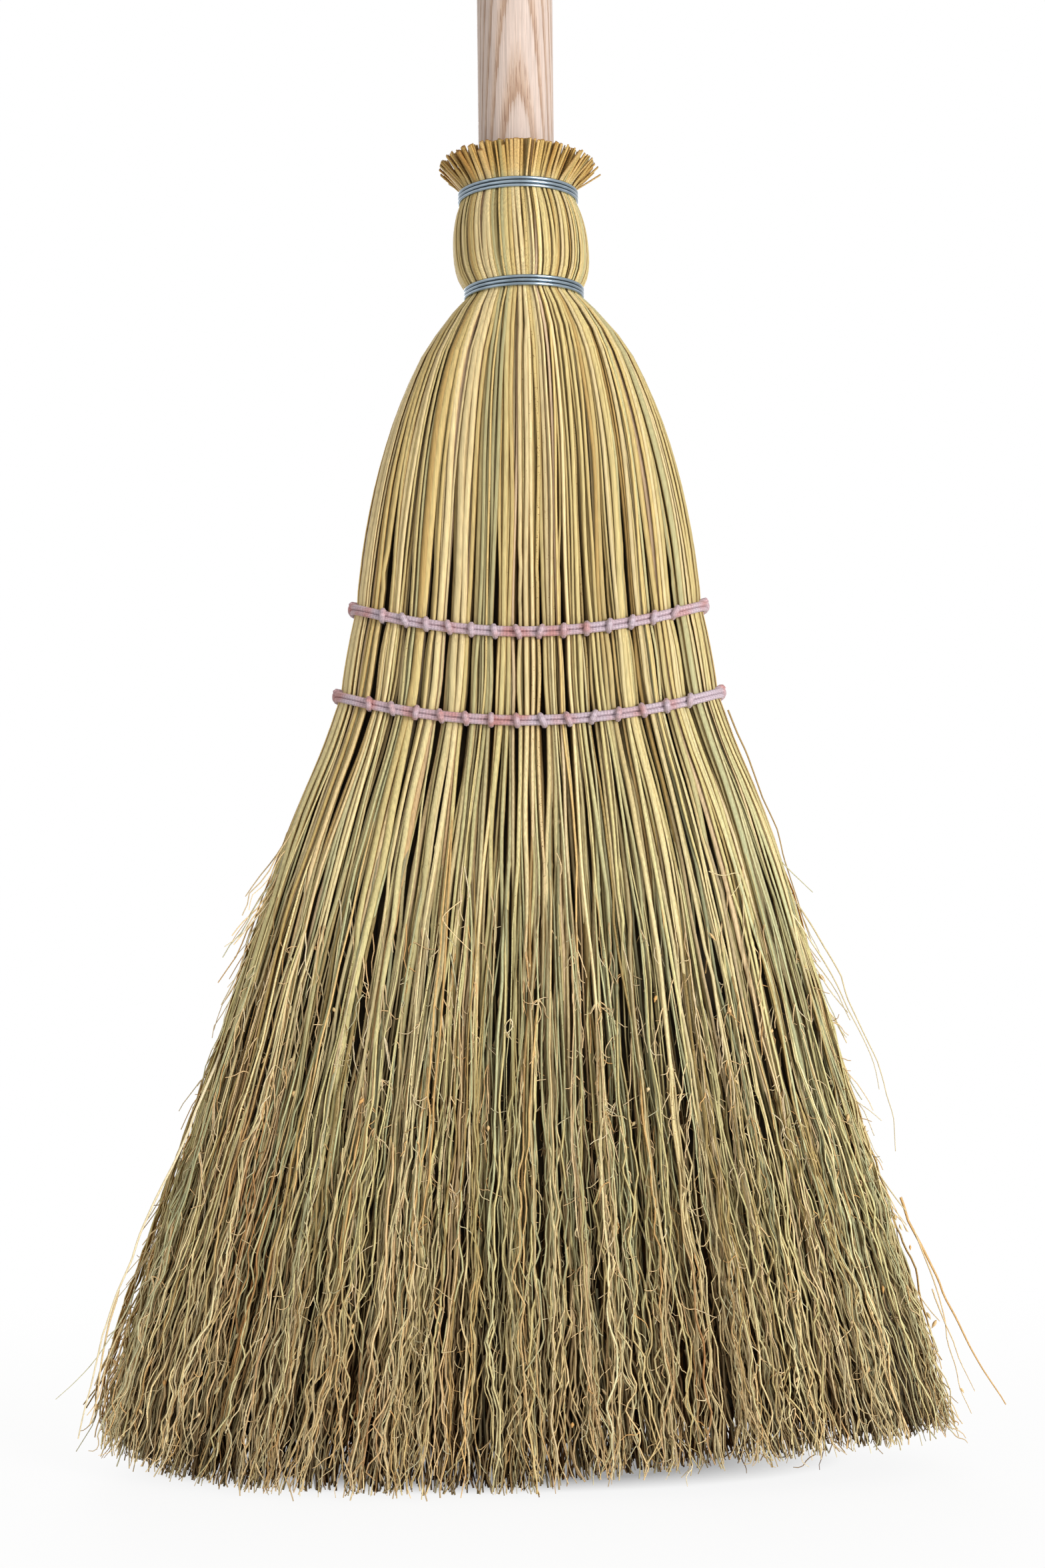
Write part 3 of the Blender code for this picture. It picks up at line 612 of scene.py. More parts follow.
# About three hundred stalks lie three deep round the neck and side by side at the rows, with two hundred
# more under them. They run whole from the cut fringe over the shoulders and through the sewing to the floor.
stalk_count = 306
under_count = 210
fringe_lengths = (0.0133, 0.0132, 0.0131, 0.0131)
fringe_leans = ((36, 48), (25, 37), (12, 25), (2, 12))
stalk_radii = ((0.00037, 0.00057), (0.00057, 0.00082), (0.00082, 0.00114), (0.00114, 0.00146))
radius_odds = (0.42, 0.34, 0.18, 0.06)
cut_end_count = 220
taper_heights = (0.0, 0.03, 0.10, 0.16, 0.22, 0.30)
taper_shares = (0.32, 0.38, 0.52, 0.70, 0.90, 1.0)
stalk_heights = np.concatenate([
    np.linspace(fringe_root, 0.426, 17)[:-1],
    np.linspace(0.426, 0.330, 13)[:-1],
    np.linspace(0.330, 0.252, 15)[:-1],
    np.linspace(0.252, 0.100, 16)[:-1],
    np.linspace(0.100, 0.0, 27),
])
# How far the stalks lean, bend and crinkle down the skirt: across the head and out of it
stalk_leans = (0.0034, 0.0030)
stalk_bends = (0.00045, 0.00035)
stalk_joint = 0.016
stalk_crinkle = 0.0009
crinkle_joint = 0.0085
stalk_noise = 0.0004
right_narrowing = 0.075
left_narrowing = 0.028
left_lift = 0.016
left_lift_power = 8
right_lift = 0.0128
right_lift_power = 0.55
half_reach = 0.164
node_reach = 0.0017
face_limit = 0.0615
least_tip = 0.0005
floor_clearance = 0.001
skirt_top = 0.262


def wander(height, amount, longest):
    """A slow sideways drift along a strand, up to about the given amount."""
    drift = np.zeros(len(height))
    for share, length in ((0.7, longest), (0.4, longest * 0.45)):
        drift += share * np.sin(2 * np.pi * (height / (length * rng.uniform(0.7, 1.3)) + rng.uniform()))
    return amount * drift


def crook(height, step):
    """Sideways offsets that turn at joints about a step apart, as straw bends at its nodes."""
    joints = np.arange(height.min() - step, height.max() + 2 * step, step) + rng.uniform(0, step)
    joints = joints + rng.uniform(-0.35, 0.35, len(joints)) * step
    return np.interp(height, joints, rng.normal(0, 1, len(joints)))


def near_floor(height, top, power):
    return np.clip((top - height) / top, 0, 1) ** power


def splay(height, tip, reach, amount):
    """The bend of the last stretch of a tip to one side."""
    return rng.normal(0, amount) * np.clip((tip + reach - height) / reach, 0, 1) ** 1.8


def tip_height(x, ragged):
    """How far over the floor a tip ends: the edge is worn higher towards the ends, most on the right."""
    share = min(1.0, abs(x) / half_reach)
    worn = right_lift * share**right_lift_power if x > 0 else left_lift * share**left_lift_power
    return worn + ragged + least_tip


def fringe_line(start, layer):
    """The cut end of a stalk above the upper wire, bent outwards, from its tip down to its root."""
    lean = math.radians(rng.uniform(*fringe_leans[layer]))
    length = fringe_lengths[layer] * rng.uniform(0.975, 1.025)
    if layer == 0 and rng.uniform() < 0.05:
        lean = math.radians(rng.uniform(52, 64))
    elif rng.uniform() < 0.08:
        length *= rng.uniform(0.80, 0.94)
    side = rng.normal(0, 0.055)
    along = np.array((1.0, 0.62, 0.26))
    out = start[:2] / np.hypot(*start[:2])
    angle = lean * (0.45 + 0.55 * abs(out[0])) * np.array((1.0, 0.98, 0.90))
    sideways = np.array((-out[1], out[0]))
    flat = out + side * sideways
    flat = flat / np.hypot(*flat)
    reach = length * along * np.sin(angle)
    line = np.column_stack([reach * flat[0], reach * flat[1], length * along * np.cos(angle)])
    return start + line


def bundle_at(way_round):
    """The bundle that a share of the way round the head falls in."""
    turn = np.interp(way_round % 1, round_share, flat_turn)
    return int(np.searchsorted(bundle_edges, squared(np.cos(turn), flat_power)))


def narrowing(x):
    """How far the skirt is drawn in at its sides, so that the loose fibres stand clear of it."""
    return np.clip(x, 0, None) * right_narrowing + np.clip(x, None, 0) * left_narrowing


def stalk_line(way_round, layer, radius, heights):
    """The middle line of a stalk, from its root in the fringe down to its tip."""
    spread = head_at(heights, 3)
    bundle = bundle_at(way_round)
    around = np.where(spread < 0.5, 0.14, 0.30)
    way = way_round + wander(heights, 0.0007, 0.200) / around
    skirt = near_floor(heights, skirt_top, 1.2)
    if layer == 3:
        inset = blend(0.0036, 0.0022, spread) + rng.uniform(0.0, 0.0010)
        inset = inset * (1 - near_floor(heights, skirt_top, 0.5)) + rng.uniform(0.0005, 0.0065) * skirt
    else:
        inset = 0.4 * radius + layer * blend(0.00088, 0.00065, spread)
        inset = inset + skirt * rng.uniform(-0.0005, 0.008)
    x, y = head_place(way, heights, inset, bundle)
    across = np.array((x - narrowing(x) * skirt, y))
    bent = np.clip(skirt * 6, 0, 1)
    for side, lean, bend in zip(across, stalk_leans, stalk_bends):
        side += skirt * rng.normal(0, lean) + bend * bent * crook(heights, stalk_joint)
    loose = near_floor(heights, 0.16, 1.0)
    for side in across:
        crinkle = stalk_crinkle * crook(heights, crinkle_joint)
        side += loose * (crinkle + stalk_noise * rng.normal(0, 1, len(heights)))
    for side in across:
        side += splay(heights, heights[-1], 0.025, 0.0016)
    return np.column_stack([across[0], np.clip(across[1], -face_limit, face_limit), heights])


def point_at(path, height):
    """The point of a path that lies nearest to a height."""
    return path[np.argmin(np.abs(path[:, 2] - height))]


def bundle_of(path):
    """The bundle that a strand belongs to, from its place across the upper row."""
    x, _, height = point_at(path, upper_row)
    return int(np.searchsorted(bundle_edges, (x - sway(height)) / head_at(height, 1)))


stalks, under_stalks, bristles = ([[] for _ in range(bundle_count)] for _ in range(3))
parents = []
layers = np.tile((0, 2, 1), stalk_count // 3 + 1)[:stalk_count]
for i in rng.choice(stalk_count - 1, stalk_count // 5, replace=False):
    layers[i], layers[i + 1] = layers[i + 1], layers[i]
for i in range(stalk_count + under_count):
    under = i >= stalk_count
    if under:
        layer = 3
        way_round = (i - stalk_count + rng.uniform(0.2, 0.8)) / under_count
        thickness = rng.uniform(0.00065, 0.00105)
    else:
        layer = layers[i]
        way_round = (i + rng.uniform(0.3, 0.7)) / stalk_count
        thickness = rng.uniform(*stalk_radii[rng.choice(len(stalk_radii), p=radius_odds)])
    end_x, _ = head_place(way_round, 0.0, 0.0)
    bottom = tip_height(end_x, rng.exponential(0.004))
    node = rng.uniform(0.105, 0.245)
    around_node = (node + node_reach, node, node - node_reach)
    clear = np.abs(stalk_heights - node) > 1.5 * node_reach
    heights = stalk_heights[clear & (stalk_heights > bottom + 0.001)]
    heights = np.sort(np.concatenate([heights, around_node, [bottom]]))[::-1]
    path = stalk_line(way_round, layer, thickness, heights)
    path = np.vstack([fringe_line(path[0], layer), path])
    taper = np.interp(path[:, 2], taper_heights, taper_shares)
    lumps = np.clip((0.34 - path[:, 2]) / 0.10, 0, 1) * 0.05 * crook(path[:, 2], 0.02)
    bumps = 1 + lumps + rng.uniform(0.05, 0.40) * (path[:, 2] == node)
    base = drawn_tint(tints, tint_odds) * rng.uniform(0.72, 0.97)
    own = drawn_tint(skirt_tints, skirt_odds) * rng.uniform(0.90, 1.18)
    specks = rng.choice((0.0, 0.35, 0.6), p=(0.91, 0.07, 0.02))
    # The stalks of the under layer lie beneath the others: their darker tint is painted shade
    shade = rng.uniform(0.6, 0.85) if under else 1.0
    colour = strand_tint(path, base, own, shade, specks)
    k = bundle_of(path)
    (under_stalks if under else stalks)[k].append((path, thickness * taper * bumps, colour))
    parents.append((k, layer, base, own, path, node))

# Between them in the fringe stand the short ends of stalks that the upper wire holds and no more.
for i in range(cut_end_count):
    way_round = rng.uniform()
    heights = np.array((fringe_root, upper_ring))
    x, y = head_place(way_round, heights, rng.uniform(0.0003, 0.0022))
    root = np.column_stack([x, y, heights])
    path = np.vstack([fringe_line(root[0], rng.integers(0, 3)), root])
    base = drawn_tint(tints, tint_odds) * rng.uniform(0.66, 0.97)
    colour = strand_tint(path, base, base, 1.0, 0.0)
    stalks[bundle_at(way_round)].append((path, np.full(5, rng.uniform(0.00034, 0.00066)), colour))


# In the lower half of the skirt each stalk gives off fine branches. They lie along it at first and stay
# with it in a tuft, then wander, and are crooked and frayed where they meet the floor.
branch_counts = (6, 6, 4, 4)
upper_step = 0.015
kink_step = 0.0035
kink_top = 0.140
fray_rate = 4.3
twig_rate = 5.2
fray_odds = (0.36, 0.22, 0.10, 0.10, 0.02, 0.20)
# How far the branches bend, kink, lean away and splay: across the head and out of it
branch_bends = (0.00110, 0.00100)
branch_joint = 0.009
branch_kinks = (0.00055, 0.00050)
branch_leans = (0.0022, 0.0024)
branch_splays = (0.0024, 0.0019)


def uneven_run(top, low, step):
    """Heights from the top down to just over the low end, at uneven steps."""
    if top - low < step:
        return np.array([top])
    steps = np.cumsum(rng.uniform(0.5, 1.5, int((top - low) / step)))
    return top - (top - low) * np.concatenate([[0], steps[:-1]]) / steps[-1]


def soft_noise(count):
    return np.convolve(rng.normal(0, 1, count + 2), (0.35, 0.65, 0.35), "valid")


def kept_clear(path):
    """Keeps a fibre within the head's depth and over the floor."""
    path[:, 1] = np.clip(path[:, 1], -face_limit, face_limit)
    path[:, 2] = np.clip(path[:, 2], floor_clearance, None)
    return path


def fray_line(start, length):
    """A short broken fibre that leans crookedly off the strand that it grew on."""
    along = np.linspace(0, 1, 6)
    angle = rng.normal(0, 0.35) + rng.normal(0, 0.85) * along**1.4 + 0.55 * soft_noise(6)
    x = np.cumsum(np.sin(angle)) * length / 5
    y = np.sign(start[1]) * rng.uniform(0.0, 0.4) * length * along
    z = -np.cumsum(np.cos(angle)) * length / 5
    return kept_clear(start + np.column_stack([x - x[0], y, z - z[0]]))


def twig_line(start, length):
    """A fine crooked twig that hangs beside the stalk that it grew on."""
    heights = start[2] - np.linspace(0, length, max(5, int(length / 0.0018)))
    apart = np.linspace(0, 1, len(heights)) ** 0.7
    x = start[0] + apart * (rng.normal(0, 0.0020) + 0.00075 * crook(heights, 0.0040))
    forward = np.sign(start[1]) * rng.uniform(0.001, 0.005)
    y = start[1] + apart * (forward + 0.0004 * crook(heights, 0.0040))
    return kept_clear(np.column_stack([x, y, heights]))


def fray_colour(count):
    tint = drawn_tint(tip_tints, fray_odds) * rng.uniform(0.85, 1.15)
    return np.tile(np.append(tint, 0.0), (count, 1))


for k, layer, base, own, parent, node in parents:
    for twig in range(rng.poisson(twig_rate) if layer < 2 else 0):
        start = point_at(parent, rng.triangular(0.06, 0.16, 0.23))
        path = twig_line(start, rng.uniform(0.008, 0.030))
        bristles[k].append((path, np.linspace(0.00028, 0.00014, len(path)), fray_colour(len(path))))
    for branch in range(branch_counts[layer]):
        start = node if rng.uniform() < 0.3 else rng.triangular(0.06, 0.14, 0.24)
        ragged = rng.exponential(0.004) if rng.uniform() < 0.82 else rng.uniform(0.01, 0.07)
        tip = min(tip_height(parent[-1, 0], ragged), start - 0.03)
        crooked = min(start, kink_top)
        heights = np.concatenate([
            uneven_run(start, crooked, upper_step), uneven_run(crooked, tip, kink_step), [tip],
        ])
        heights = np.unique(heights)[::-1]
        rising = parent[np.argsort(parent[:, 2])].T
        across = np.array([np.interp(heights, rising[2], side) for side in rising[:2]])
        apart = np.clip((start - heights) / 0.07, 0, 1) ** 0.8
        loose = rng.uniform(0.4, 1.9) * near_floor(heights, 0.185, 0.8)
        across += loose * [bend * crook(heights, branch_joint) for bend in branch_bends]
        across += loose * [kink * soft_noise(len(heights)) for kink in branch_kinks]
        across += [apart * rng.normal(0, lean) for lean in branch_leans]
        across += [splay(heights, tip, 0.022, turn) for turn in branch_splays]
        path = np.column_stack([across[0], np.clip(across[1], -face_limit, face_limit), heights])
        wide = rng.uniform(0.00021, 0.00048)
        radius = wide * np.interp(heights, (tip, tip + 0.02, start - 0.01, start), (0.55, 0.85, 1.0, 0.7))
        shade = rng.uniform(0.76, 1.28)
        if rng.uniform() < 0.35:
            own = drawn_tint(skirt_tints, skirt_odds)
        colour = strand_tint(path, base, own, shade, rng.choice((0.0, 0.6), p=(0.88, 0.12)))
        bristles[k].append((path, radius, colour))
        for fray in range(rng.poisson(fray_rate) if layer < 2 else 0):
            line = fray_line(point_at(path, rng.uniform(0.010, 0.20)), rng.uniform(0.0030, 0.0095))
            bristles[k].append((line, np.linspace(0.00024, 0.00013, 6), fray_colour(6)))

for k in range(bundle_count):
    groups = ((1, True, stalks[k]), (0, True, under_stalks[k]), (0, False, bristles[k]))
    piece = straw_piece(f"straw_bundle_{k + 1:02d}", groups, straw)
    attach(piece, "root")
    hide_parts(f"bundle_{k + 1:02d}")


# Inner bristles
# The head is full of fibres down to the floor, not only on its faces. These fill its inside, so that the
# sweeping edge is a deep brush seen from below, from the ends and between the outer tufts.
inner_count = 2350
inner_crook = 0.0009
inner_strands = []
for i in range(inner_count):
    way = rng.uniform()
    deep = 0.004 + 0.030 * rng.uniform() ** 1.4
    top = rng.uniform(0.045, 0.075)
    end_x, _ = head_place(way, 0.0, deep)
    tip = tip_height(end_x, rng.exponential(0.0015) + 0.0005)
    heights = np.linspace(top, tip, 9)
    x, y = head_place(way, heights, deep)
    path = np.column_stack([x - narrowing(x), y, heights])
    for column in (0, 1):
        path[:, column] += inner_crook * crook(heights, 0.0065) + splay(heights, tip, 0.02, 0.002)
    own = drawn_tint(skirt_tints, skirt_odds)
    # Their tint is darkened to between a third and two thirds: painted shade deep inside the brush
    colour = strand_tint(path, own, own, rng.uniform(0.30, 0.65), 0.1)
    radius = np.interp(heights, (tip, top), (0.00035, 0.00065))
    inner_strands.append((path, radius, colour))
inner_bristles = straw_piece("inner_bristles", ((0, False, inner_strands),), straw)
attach(inner_bristles, "root")


# Loose fibres
# Some fibres have come loose: long ones that stand off both sides, short hairs along the sides, bent
# hairs on the face of the skirt, and the small dry husks that are left on the branches.
side_strays = (
    ((-112, 154), (-125, 119), (-135, 100), (-142, 82), (-149, 64), (-154, 44), (-158, 30), (-160, 20)),
    ((-150, 68), (-152, 51), (-152, 46), (-153, 35), (-156, 25)),
    ((-144, 68), (-151, 51), (-159, 41), (-168, 34)),
    ((-148, 57), (-152, 43), (-154, 32), (-157, 28)),
    ((-103, 186), (-104, 179), (-108, 169), (-108, 163), (-111, 158)),
    ((76, 279), (87, 252), (95, 231), (101, 207), (106, 192)),
    ((101, 207), (113, 188), (122, 167), (131, 146), (135, 130), (137, 115)),
    ((104, 196), (114, 180), (122, 164), (128, 150), (131, 138)),
    ((138, 98), (151, 68), (161, 47), (168, 34), (176, 21)),
    ((143, 86), (153, 58), (156, 39), (163, 18)),
    ((150, 64), (158, 42), (164, 30), (166, 26)),
    ((-141, 32), (-141, 23), (-146, 20), (-147, 15), (-153, 14)),
    ((-136, 28), (-137, 20), (-133, 16), (-137, 12)),
    ((-148, 42), (-150, 32), (-147, 27), (-151, 21)),
)
stray_radii = (0.66, 0.46, 0.32, 0.34, 0.24, 0.36, 0.30, 0.28, 0.52, 0.30, 0.28, 0.26, 0.24, 0.28)
left_stray_depths = (0.012, 0.034, 0.040)
right_stray_depths = (0.004, 0.004, 0.004)
stray_tints = (5, 0, 2, 0, 2, 4, 1, 1, 3, 0, 0, 0, 5, 3)
face_hairs = (
    ((-23, 209), (-27, 206), (-30, 203), (-26, 198), (-19, 191)),
    ((67, 219), (72, 217), (78, 219), (79, 215), (75, 210)),
    ((-58, 176), (-61, 172), (-60, 168), (-64, 163)),
    ((31, 160), (28, 156), (29, 151), (25, 147), (26, 143)),
    ((12, 226), (14, 221), (13, 217)),
    ((-92, 140), (-96, 136), (-95, 131), (-99, 126)),
    ((88, 132), (92, 129), (92, 124), (97, 120)),
)
husk_count = 170
side_hair_count = 80


def face_place(x, height, out):
    """Points on the front of the head, a way out of the straw."""
    depth = head_at(height, 2) * bulge((x - sway(height)) / head_at(height, 1), flat_power)
    return np.column_stack([x, -(depth + out), height])


def spaced(points, step, least):
    """Points about a step apart along a line, at least a few of them."""
    along = run_length(points)
    even = np.linspace(0, along[-1], max(least, int(along[-1] / step)))
    return np.column_stack([np.interp(even, along, column) for column in points.T])


def round_off(points, step):
    """Points a step apart along a line whose corners are rounded off."""
    for _ in range(2):
        cut = 0.75 * points[:-1] + 0.25 * points[1:], 0.25 * points[:-1] + 0.75 * points[1:]
        points = np.vstack([points[:1], np.stack(cut, axis=1).reshape(-1, 2), points[-1:]])
    return spaced(points, step, 5)


loose_strands = []
for corners, wide, tint in zip(side_strays, stray_radii, stray_tints):
    line = round_off(np.array(corners) / 1000, 0.0030)
    x = line[:, 0] + 0.00035 * crook(line[:, 1], 0.009)
    depths = left_stray_depths if line[0, 0] < 0 else right_stray_depths
    along = np.linspace(0, 1, len(line))
    y = 0.001 * wander(line[:, 1], 1.0, 0.15) - np.interp(along, (0, 0.5, 1), depths)
    radius = wide / 1000 * np.linspace(1.0, 0.45, len(line))
    colour = np.tile(np.append(tip_tints[tint] * 0.95, 0.0), (len(line), 1))
    loose_strands.append((np.column_stack([x, y, line[:, 1]]), radius, colour))
for corners in face_hairs:
    line = round_off(np.array(corners) / 1000, 0.0011)
    path = face_place(line[:, 0], line[:, 1], 0.0012 + 0.0014 * np.sin(np.linspace(0, np.pi, len(line))))
    loose_strands.append((path, np.linspace(0.00020, 0.00013, len(line)), fray_colour(len(line))))
for i in range(side_hair_count):
    side = rng.choice((-1, 1))
    top = rng.uniform(0.05, 0.25)
    heights = np.linspace(top, max(top - rng.uniform(0.012, 0.045), 0.004), 10)
    drawn_in = (right_narrowing if side > 0 else left_narrowing) * near_floor(heights, skirt_top, 1.2)
    apart = rng.uniform(0.004, 0.011) * np.linspace(0, 1, 10) ** 1.3 - 0.003
    x = side * (head_at(heights, 1) * (1 - drawn_in) + apart) + sway(heights)
    x = x + 0.0008 * crook(heights, 0.006)
    y = rng.uniform(-0.008, 0.004) + 0.0006 * crook(heights, 0.008)
    radius = rng.uniform(0.00020, 0.00034) * np.linspace(1.0, 0.6, 10)
    loose_strands.append((np.column_stack([x, y, heights]), radius, fray_colour(10)))
for i in range(husk_count):
    way = rng.uniform()
    height = 0.026 + 0.18 * rng.uniform() ** 1.5
    x, y = head_place(way, height, rng.uniform(0.0, 0.002))
    length = rng.uniform(0.0022, 0.0042)
    lean = rng.uniform(-0.7, 0.7)
    along = np.linspace(0, 1, 5)[:, None]
    path = kept_clear(np.array((x, y, height)) + along * length * (lean, 0, -0.8))
    radius = rng.uniform(0.0004, 0.0008) * np.array((0.2, 0.9, 1.0, 0.55, 0.1))
    loose_strands.append((path, radius, fray_colour(5) * (1.0, 0.90, 0.78, 1.0)))
loose_fibres = straw_piece("loose_fibres", ((0, False, loose_strands),), straw, in_the_head=False)
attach(loose_fibres, "root")


# Inside of the head
# Behind the stalks that show, the head is packed with more of them, in deep shade. One ribbed body stands for
# them, coloured near black as painted shade, so that the gaps between the stalks look as dark as they are.
core_top = 0.426
core_bottom = 0.028
core_levels = 40
core_inset = 0.0062
core_narrowing = 0.004
core_rib = 0.0007
core_sides = 96
shade_tones = ((0.35, (0.010, 0.006, 0.002)), (0.70, (0.085, 0.055, 0.020)))

shaded_straw, shader, add, place = new_material("shaded_straw")
grain = add("Group", {"Vector": place, "Fineness": 700.0, "Length": 0.03}, node_tree=long_grain)
feed(shader, {"Base Color": ramp(add, grain.outputs["Streaks"], shade_tones), "Roughness": 0.9})

bm = bmesh.new()
sides = np.arange(core_sides)
edges = None
for height in np.linspace(core_top, core_bottom, core_levels):
    deeper = core_inset + core_narrowing * np.clip((0.25 - height) / 0.25, 0, 1)
    x, y = head_place(sides / core_sides, height, deeper + core_rib * (sides % 2))
    if edges is None:
        ring = [bm.verts.new((a, b, height)) for a, b in zip(x, y)]
        edges = [bm.edges.new((ring[i - 1], ring[i])) for i in range(core_sides)]
        bm.faces.new(ring)
    else:
        made = bmesh.ops.extrude_edge_only(bm, edges=edges)["geom"]
        edges = [part for part in made if isinstance(part, bmesh.types.BMEdge) and part.is_boundary]
        new = [part for part in made if isinstance(part, bmesh.types.BMVert)]
        for corner, a, b in zip(new, x, y):
            corner.co = (a, b, height)
bmesh.ops.edgeloop_fill(bm, edges=edges)
bmesh.ops.recalc_face_normals(bm, faces=bm.faces)
core = new_piece("inner_straw_core", bm, shaded_straw, smooth=False)
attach(core, "root")


# Wire bindings
# Galvanised steel wire, wound three turns round the neck at each end of the barrel, each turn tight
# against the last. Both ends are bent in and pushed into the straw at the back.
wire_turns = 3
wire_pitch = 0.00138
wire_turn_points = 96
wire_tuck = 0.0038
zinc_tones = ((0.35, (0.25, 0.31, 0.36)), (0.68, (0.35, 0.42, 0.48)))


def tube_piece(name, path, radius, resolution, material):
    """A closed round tube along a path."""
    bm = bmesh.new()
    add_tubes(bm, [(path, np.full(len(path), radius), None)], resolution)
    close_ends(bm)
    bmesh.ops.recalc_face_normals(bm, faces=bm.faces)
    return new_piece(name, bm, material)


steel, shader, add, place = new_material("galvanised_steel")
zinc = add("TexNoise", {"Vector": place, "Scale": 160.0, "Detail": 3.0})
feed(shader, {"Base Color": ramp(add, zinc, zinc_tones), "Metallic": 1.0})
feed(shader, {"Roughness": toned(add, zinc, (0.0, 1.0, 0.18, 0.30))})

for node, height in (("lower_wire_binding", lower_ring), ("upper_wire_binding", upper_ring)):
    wire_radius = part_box(node)[1].x - wire_diameter / 2
    turn = np.linspace(0.004, wire_turns - 0.004, wire_turns * wire_turn_points)
    angle = np.pi / 2 + 2 * np.pi * turn
    climb = height + wire_pitch * (turn - wire_turns / 2)
    wound = np.column_stack([wire_radius * np.cos(angle), wire_radius * np.sin(angle), climb])
    ends = []
    for x, y, level in (wound[0], wound[-1]):
        bend = np.append(np.linspace(0, math.pi / 2, 5)[1:], math.pi / 2)
        in_x = x * (1 - np.sin(bend)) + 0.0001 * np.sign(x)
        in_y = y - wire_diameter * (1 - np.cos(bend))
        in_y[-1] -= wire_tuck
        ends.append(np.column_stack([in_x, in_y, np.full(5, level)]))
    path = np.vstack([ends[0][::-1], wound, ends[1]]) + (sway(height), 0.0, 0.0)
    wire = tube_piece(node + "_wire", path, wire_diameter / 2, 4, steel)
    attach(wire, "root")
    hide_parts(node)
for node, material in (
    ("inner_wire_binding", steel), ("binding_nail", steel), ("inner_stalk_layer", shaded_straw),
):
    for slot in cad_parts[node].material_slots:
        slot.material = material


# Sewing twine
# Waxed braided twine, lavender with pink stretches. Each row is a doubled band round the head, and a
# second length sewn down over the band, through the straw and up behind it, once between each two bundles.
twine_radius = 0.00093
sewing_swell = 1.15
lap_pitch = 0.00188
band_sink = 0.0002
braid_strands = 4
braid_pitch = 0.0024
braid_relief = 0.13
braid_step = 0.00042
braid_resolution = 6
braid_sides = 4 + 2 * braid_resolution
stitch_reach = 0.0016
stitch_depth = 0.0060
stitch_lean = 0.0004
dye_tones = ((0.40, (0.60, 0.475, 0.53)), (0.54, (0.60, 0.41, 0.44)), (0.68, (0.57, 0.275, 0.26)))

waxed, shader, add, place = new_material("waxed_twine")
patches = add("TexNoise", {"Vector": place, "Scale": 120.0, "Detail": 1.0})
fibres = add("TexNoise", {"Vector": place, "Scale": 2600.0, "Detail": 2.0})
fibrous = multiplied(add, ramp(add, patches, dye_tones), toned(add, fibres, (0.3, 0.7, 0.74, 1.16)))
# Painted shade: the grooves between the braid's strands are darker and its raised strands lighter
plait = add("Attribute", attribute_name="braid_groove_shade").outputs["Fac"]
plaited = multiplied(add, fibrous, toned(add, plait, (-1.0, 1.0, 0.58, 1.14)))
fuzz = add("Bump", {"Height": fibres, "Strength": 0.4, "Distance": 0.0002})
feed(shader, {"Base Color": plaited, "Roughness": 0.55, "Sheen Weight": 0.15, "Normal": fuzz})


def smooth_run(points, step):
    """Points a step apart on a smooth curve through the given ones."""
    points = np.asarray(points, float)
    held = np.vstack([2 * points[0] - points[1], points, 2 * points[-1] - points[-2]])
    t = np.linspace(0, 1, 13)[:-1, None]
    runs = []
    for a, b, c, d in zip(held, held[1:], held[2:], held[3:]):
        bend = (2 * a - 5 * b + 4 * c - d) * t**2 + (3 * b - a - 3 * c + d) * t**3
        runs.append(0.5 * (2 * b + (c - a) * t + bend))
    return spaced(np.vstack([*runs, points[-1]]), step, 8)


def braided_piece(name, path, radius):
    """A tube of twine along a path, its round braid's crossing strands raised on it and painted shade in the
    grooves.
    """
    piece = tube_piece(name, path, radius, braid_resolution, waxed)
    ring = np.repeat(np.arange(len(path)), braid_sides)
    turn = braid_strands * np.tile(2 * np.pi * np.arange(braid_sides) / braid_sides, len(path))
    phase = 2 * np.pi * run_length(path)[ring] / braid_pitch
    relief = np.cos(turn + phase) * np.cos(turn - phase)
    swell = (1 + braid_relief * relief)[:, None]
    middle = path[ring]
    place = middle + (corners_of(piece.data) - middle) * swell
    piece.data.vertices.foreach_set("co", place.ravel())
    tone = piece.data.attributes.new("braid_groove_shade", "FLOAT", "POINT")
    tone.data.foreach_set("value", relief.astype(np.float32))
    return piece


def row_surface(row, across):
    """A point on the front of a sewn row, a share of the half width across."""
    height = row + row_dip * across**2
    x = head_at(height, 1) * across + sway(height)
    return np.array((x, -head_at(height, 2) * bulge(across, flat_power), height))


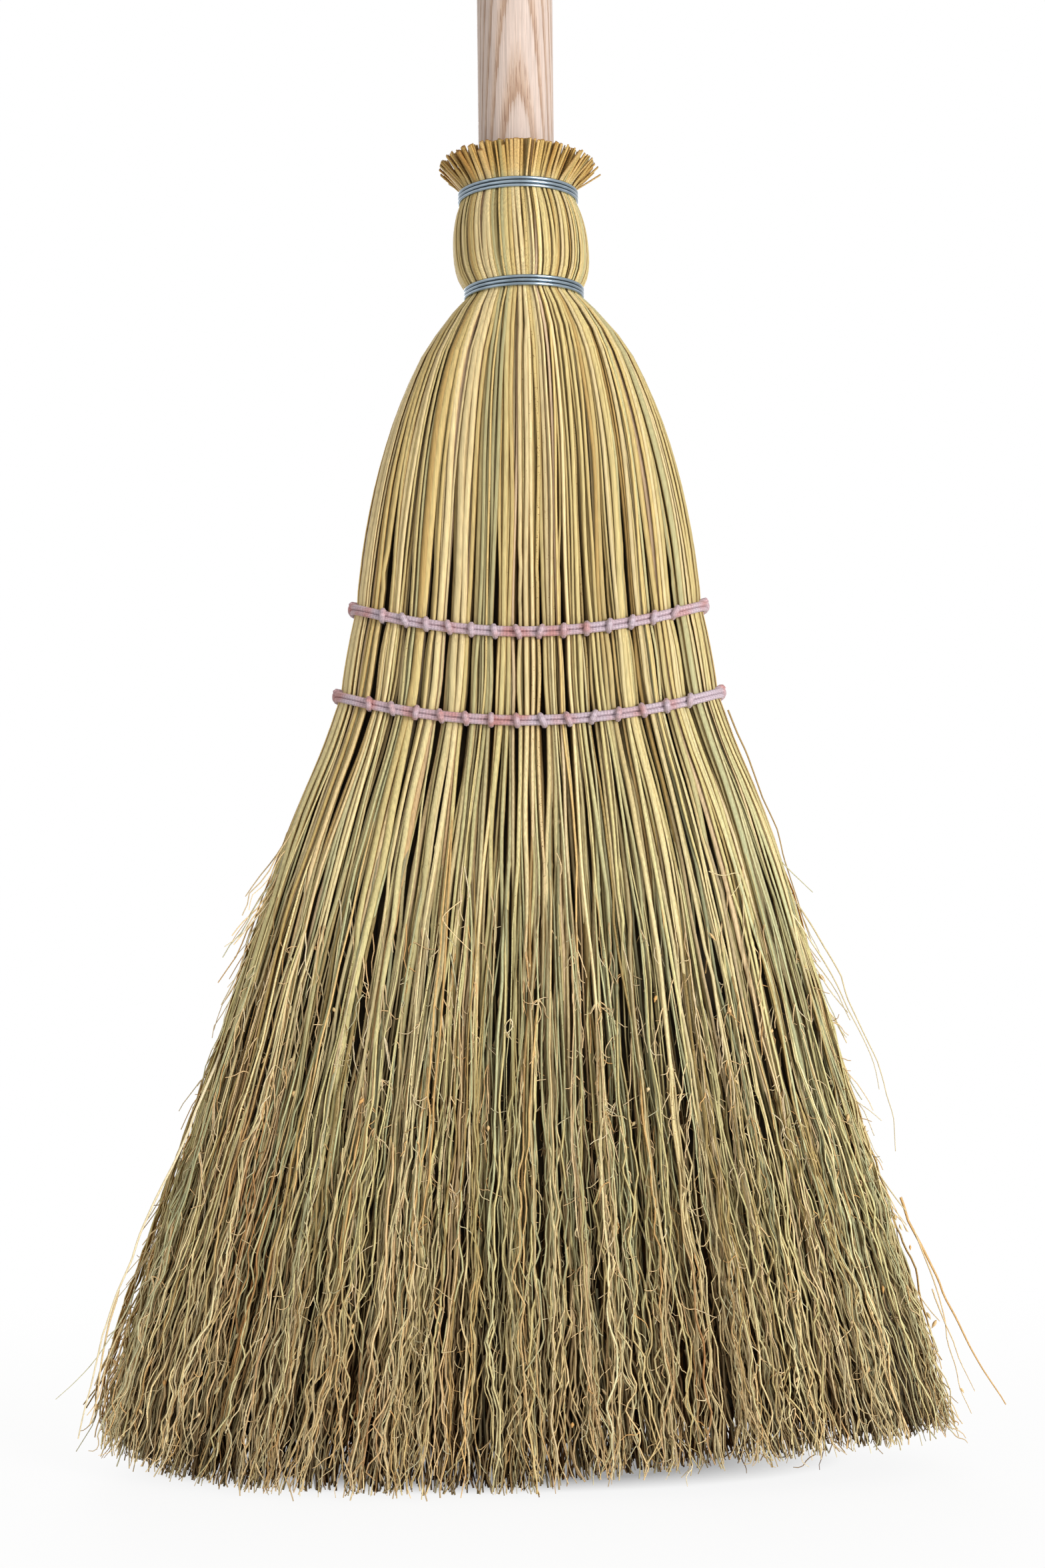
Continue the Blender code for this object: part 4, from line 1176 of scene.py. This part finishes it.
def band_path(row):
    """Two laps round the head, one above the other, with both ends pushed in at the back."""
    angle = np.linspace(0, 4 * np.pi, 720) + np.pi * 0.56
    across, depth = squared(np.cos(angle), flat_power), squared(np.sin(angle), flat_power)
    height = row + row_dip * across**2
    x = (head_at(height, 1) + twine_radius - band_sink) * across + sway(height)
    y = (head_at(height, 2) + twine_radius - band_sink) * depth
    lap = np.clip((angle - angle[0]) / (2 * np.pi), 0, 2)
    climb = lap_pitch * (np.clip((lap - 0.94) / 0.12, 0, 1) - 0.5)
    laps = np.column_stack([x, y, height + climb])
    start, end = laps[0], laps[-1]
    head = [start + (0.0011, -stitch_depth, 0), start + (0.0010, -0.0012, 0)]
    tail = [end + (-0.0010, -0.0012, 0), end + (-0.0011, -stitch_depth, 0)]
    return smooth_run(np.vstack([head, laps[4:-4], tail]), braid_step)


def side_wrap(row, side):
    """The turn that the sewing takes round the band at a side of the head, from the front to the back."""
    skin = np.array((side * head_at(row + row_dip, 1) + sway(row), 0.0, row + row_dip))
    turn = np.linspace(0.15, 0.85, 6) * np.pi
    up = stitch_reach * 1.3 * np.cos(turn)
    out = -0.0012 + 2.9 * twine_radius * np.sin(turn)
    return [skin + (side * o, -0.0016 + 0.0032 * i / 5, u) for i, (u, o) in enumerate(zip(up, out))]


def stitch_path(row):
    """The sewing of a row, down over the band in front and up behind it to the next gap."""
    over = 2.95 * twine_radius
    down = ((0.9, -stitch_depth), (1.0, -0.0016), (1.06, 0.0002), (0.72, over * 0.80), (0.0, over))
    behind = ((0.9, -stitch_depth), (1.0, -0.0010), (0.80, over * 0.75))
    skins = [row_surface(row, across) for across in bundle_edges]
    points = side_wrap(row, -1)[::-1]
    for skin, following in zip(skins, skins[1:] + [None]):
        lean = rng.normal(0, stitch_lean)
        points += [skin + (lean * up, -out, stitch_reach * up) for up, out in down]
        points += [skin + (-lean * up, -out, -stitch_reach * up) for up, out in down[-2::-1]]
        if following is not None:
            points += [skin * (1, -1, 1) + (0, out, -stitch_reach * up) for up, out in behind]
            points += [following * (1, -1, 1) + (0, out, stitch_reach * up) for up, out in behind[::-1]]
    return smooth_run(points + side_wrap(row, 1), braid_step * 1.3)


for name, row in (("lower", lower_row), ("upper", upper_row)):
    band = braided_piece(f"{name}_twine_band", band_path(row), twine_radius)
    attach(band, "root")
    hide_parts(f"{name}_row_band")
    sewing = braided_piece(f"{name}_twine_sewing", stitch_path(row), twine_radius * sewing_swell)
    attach(sewing, "root")
    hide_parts(f"{name}_row_stitching")
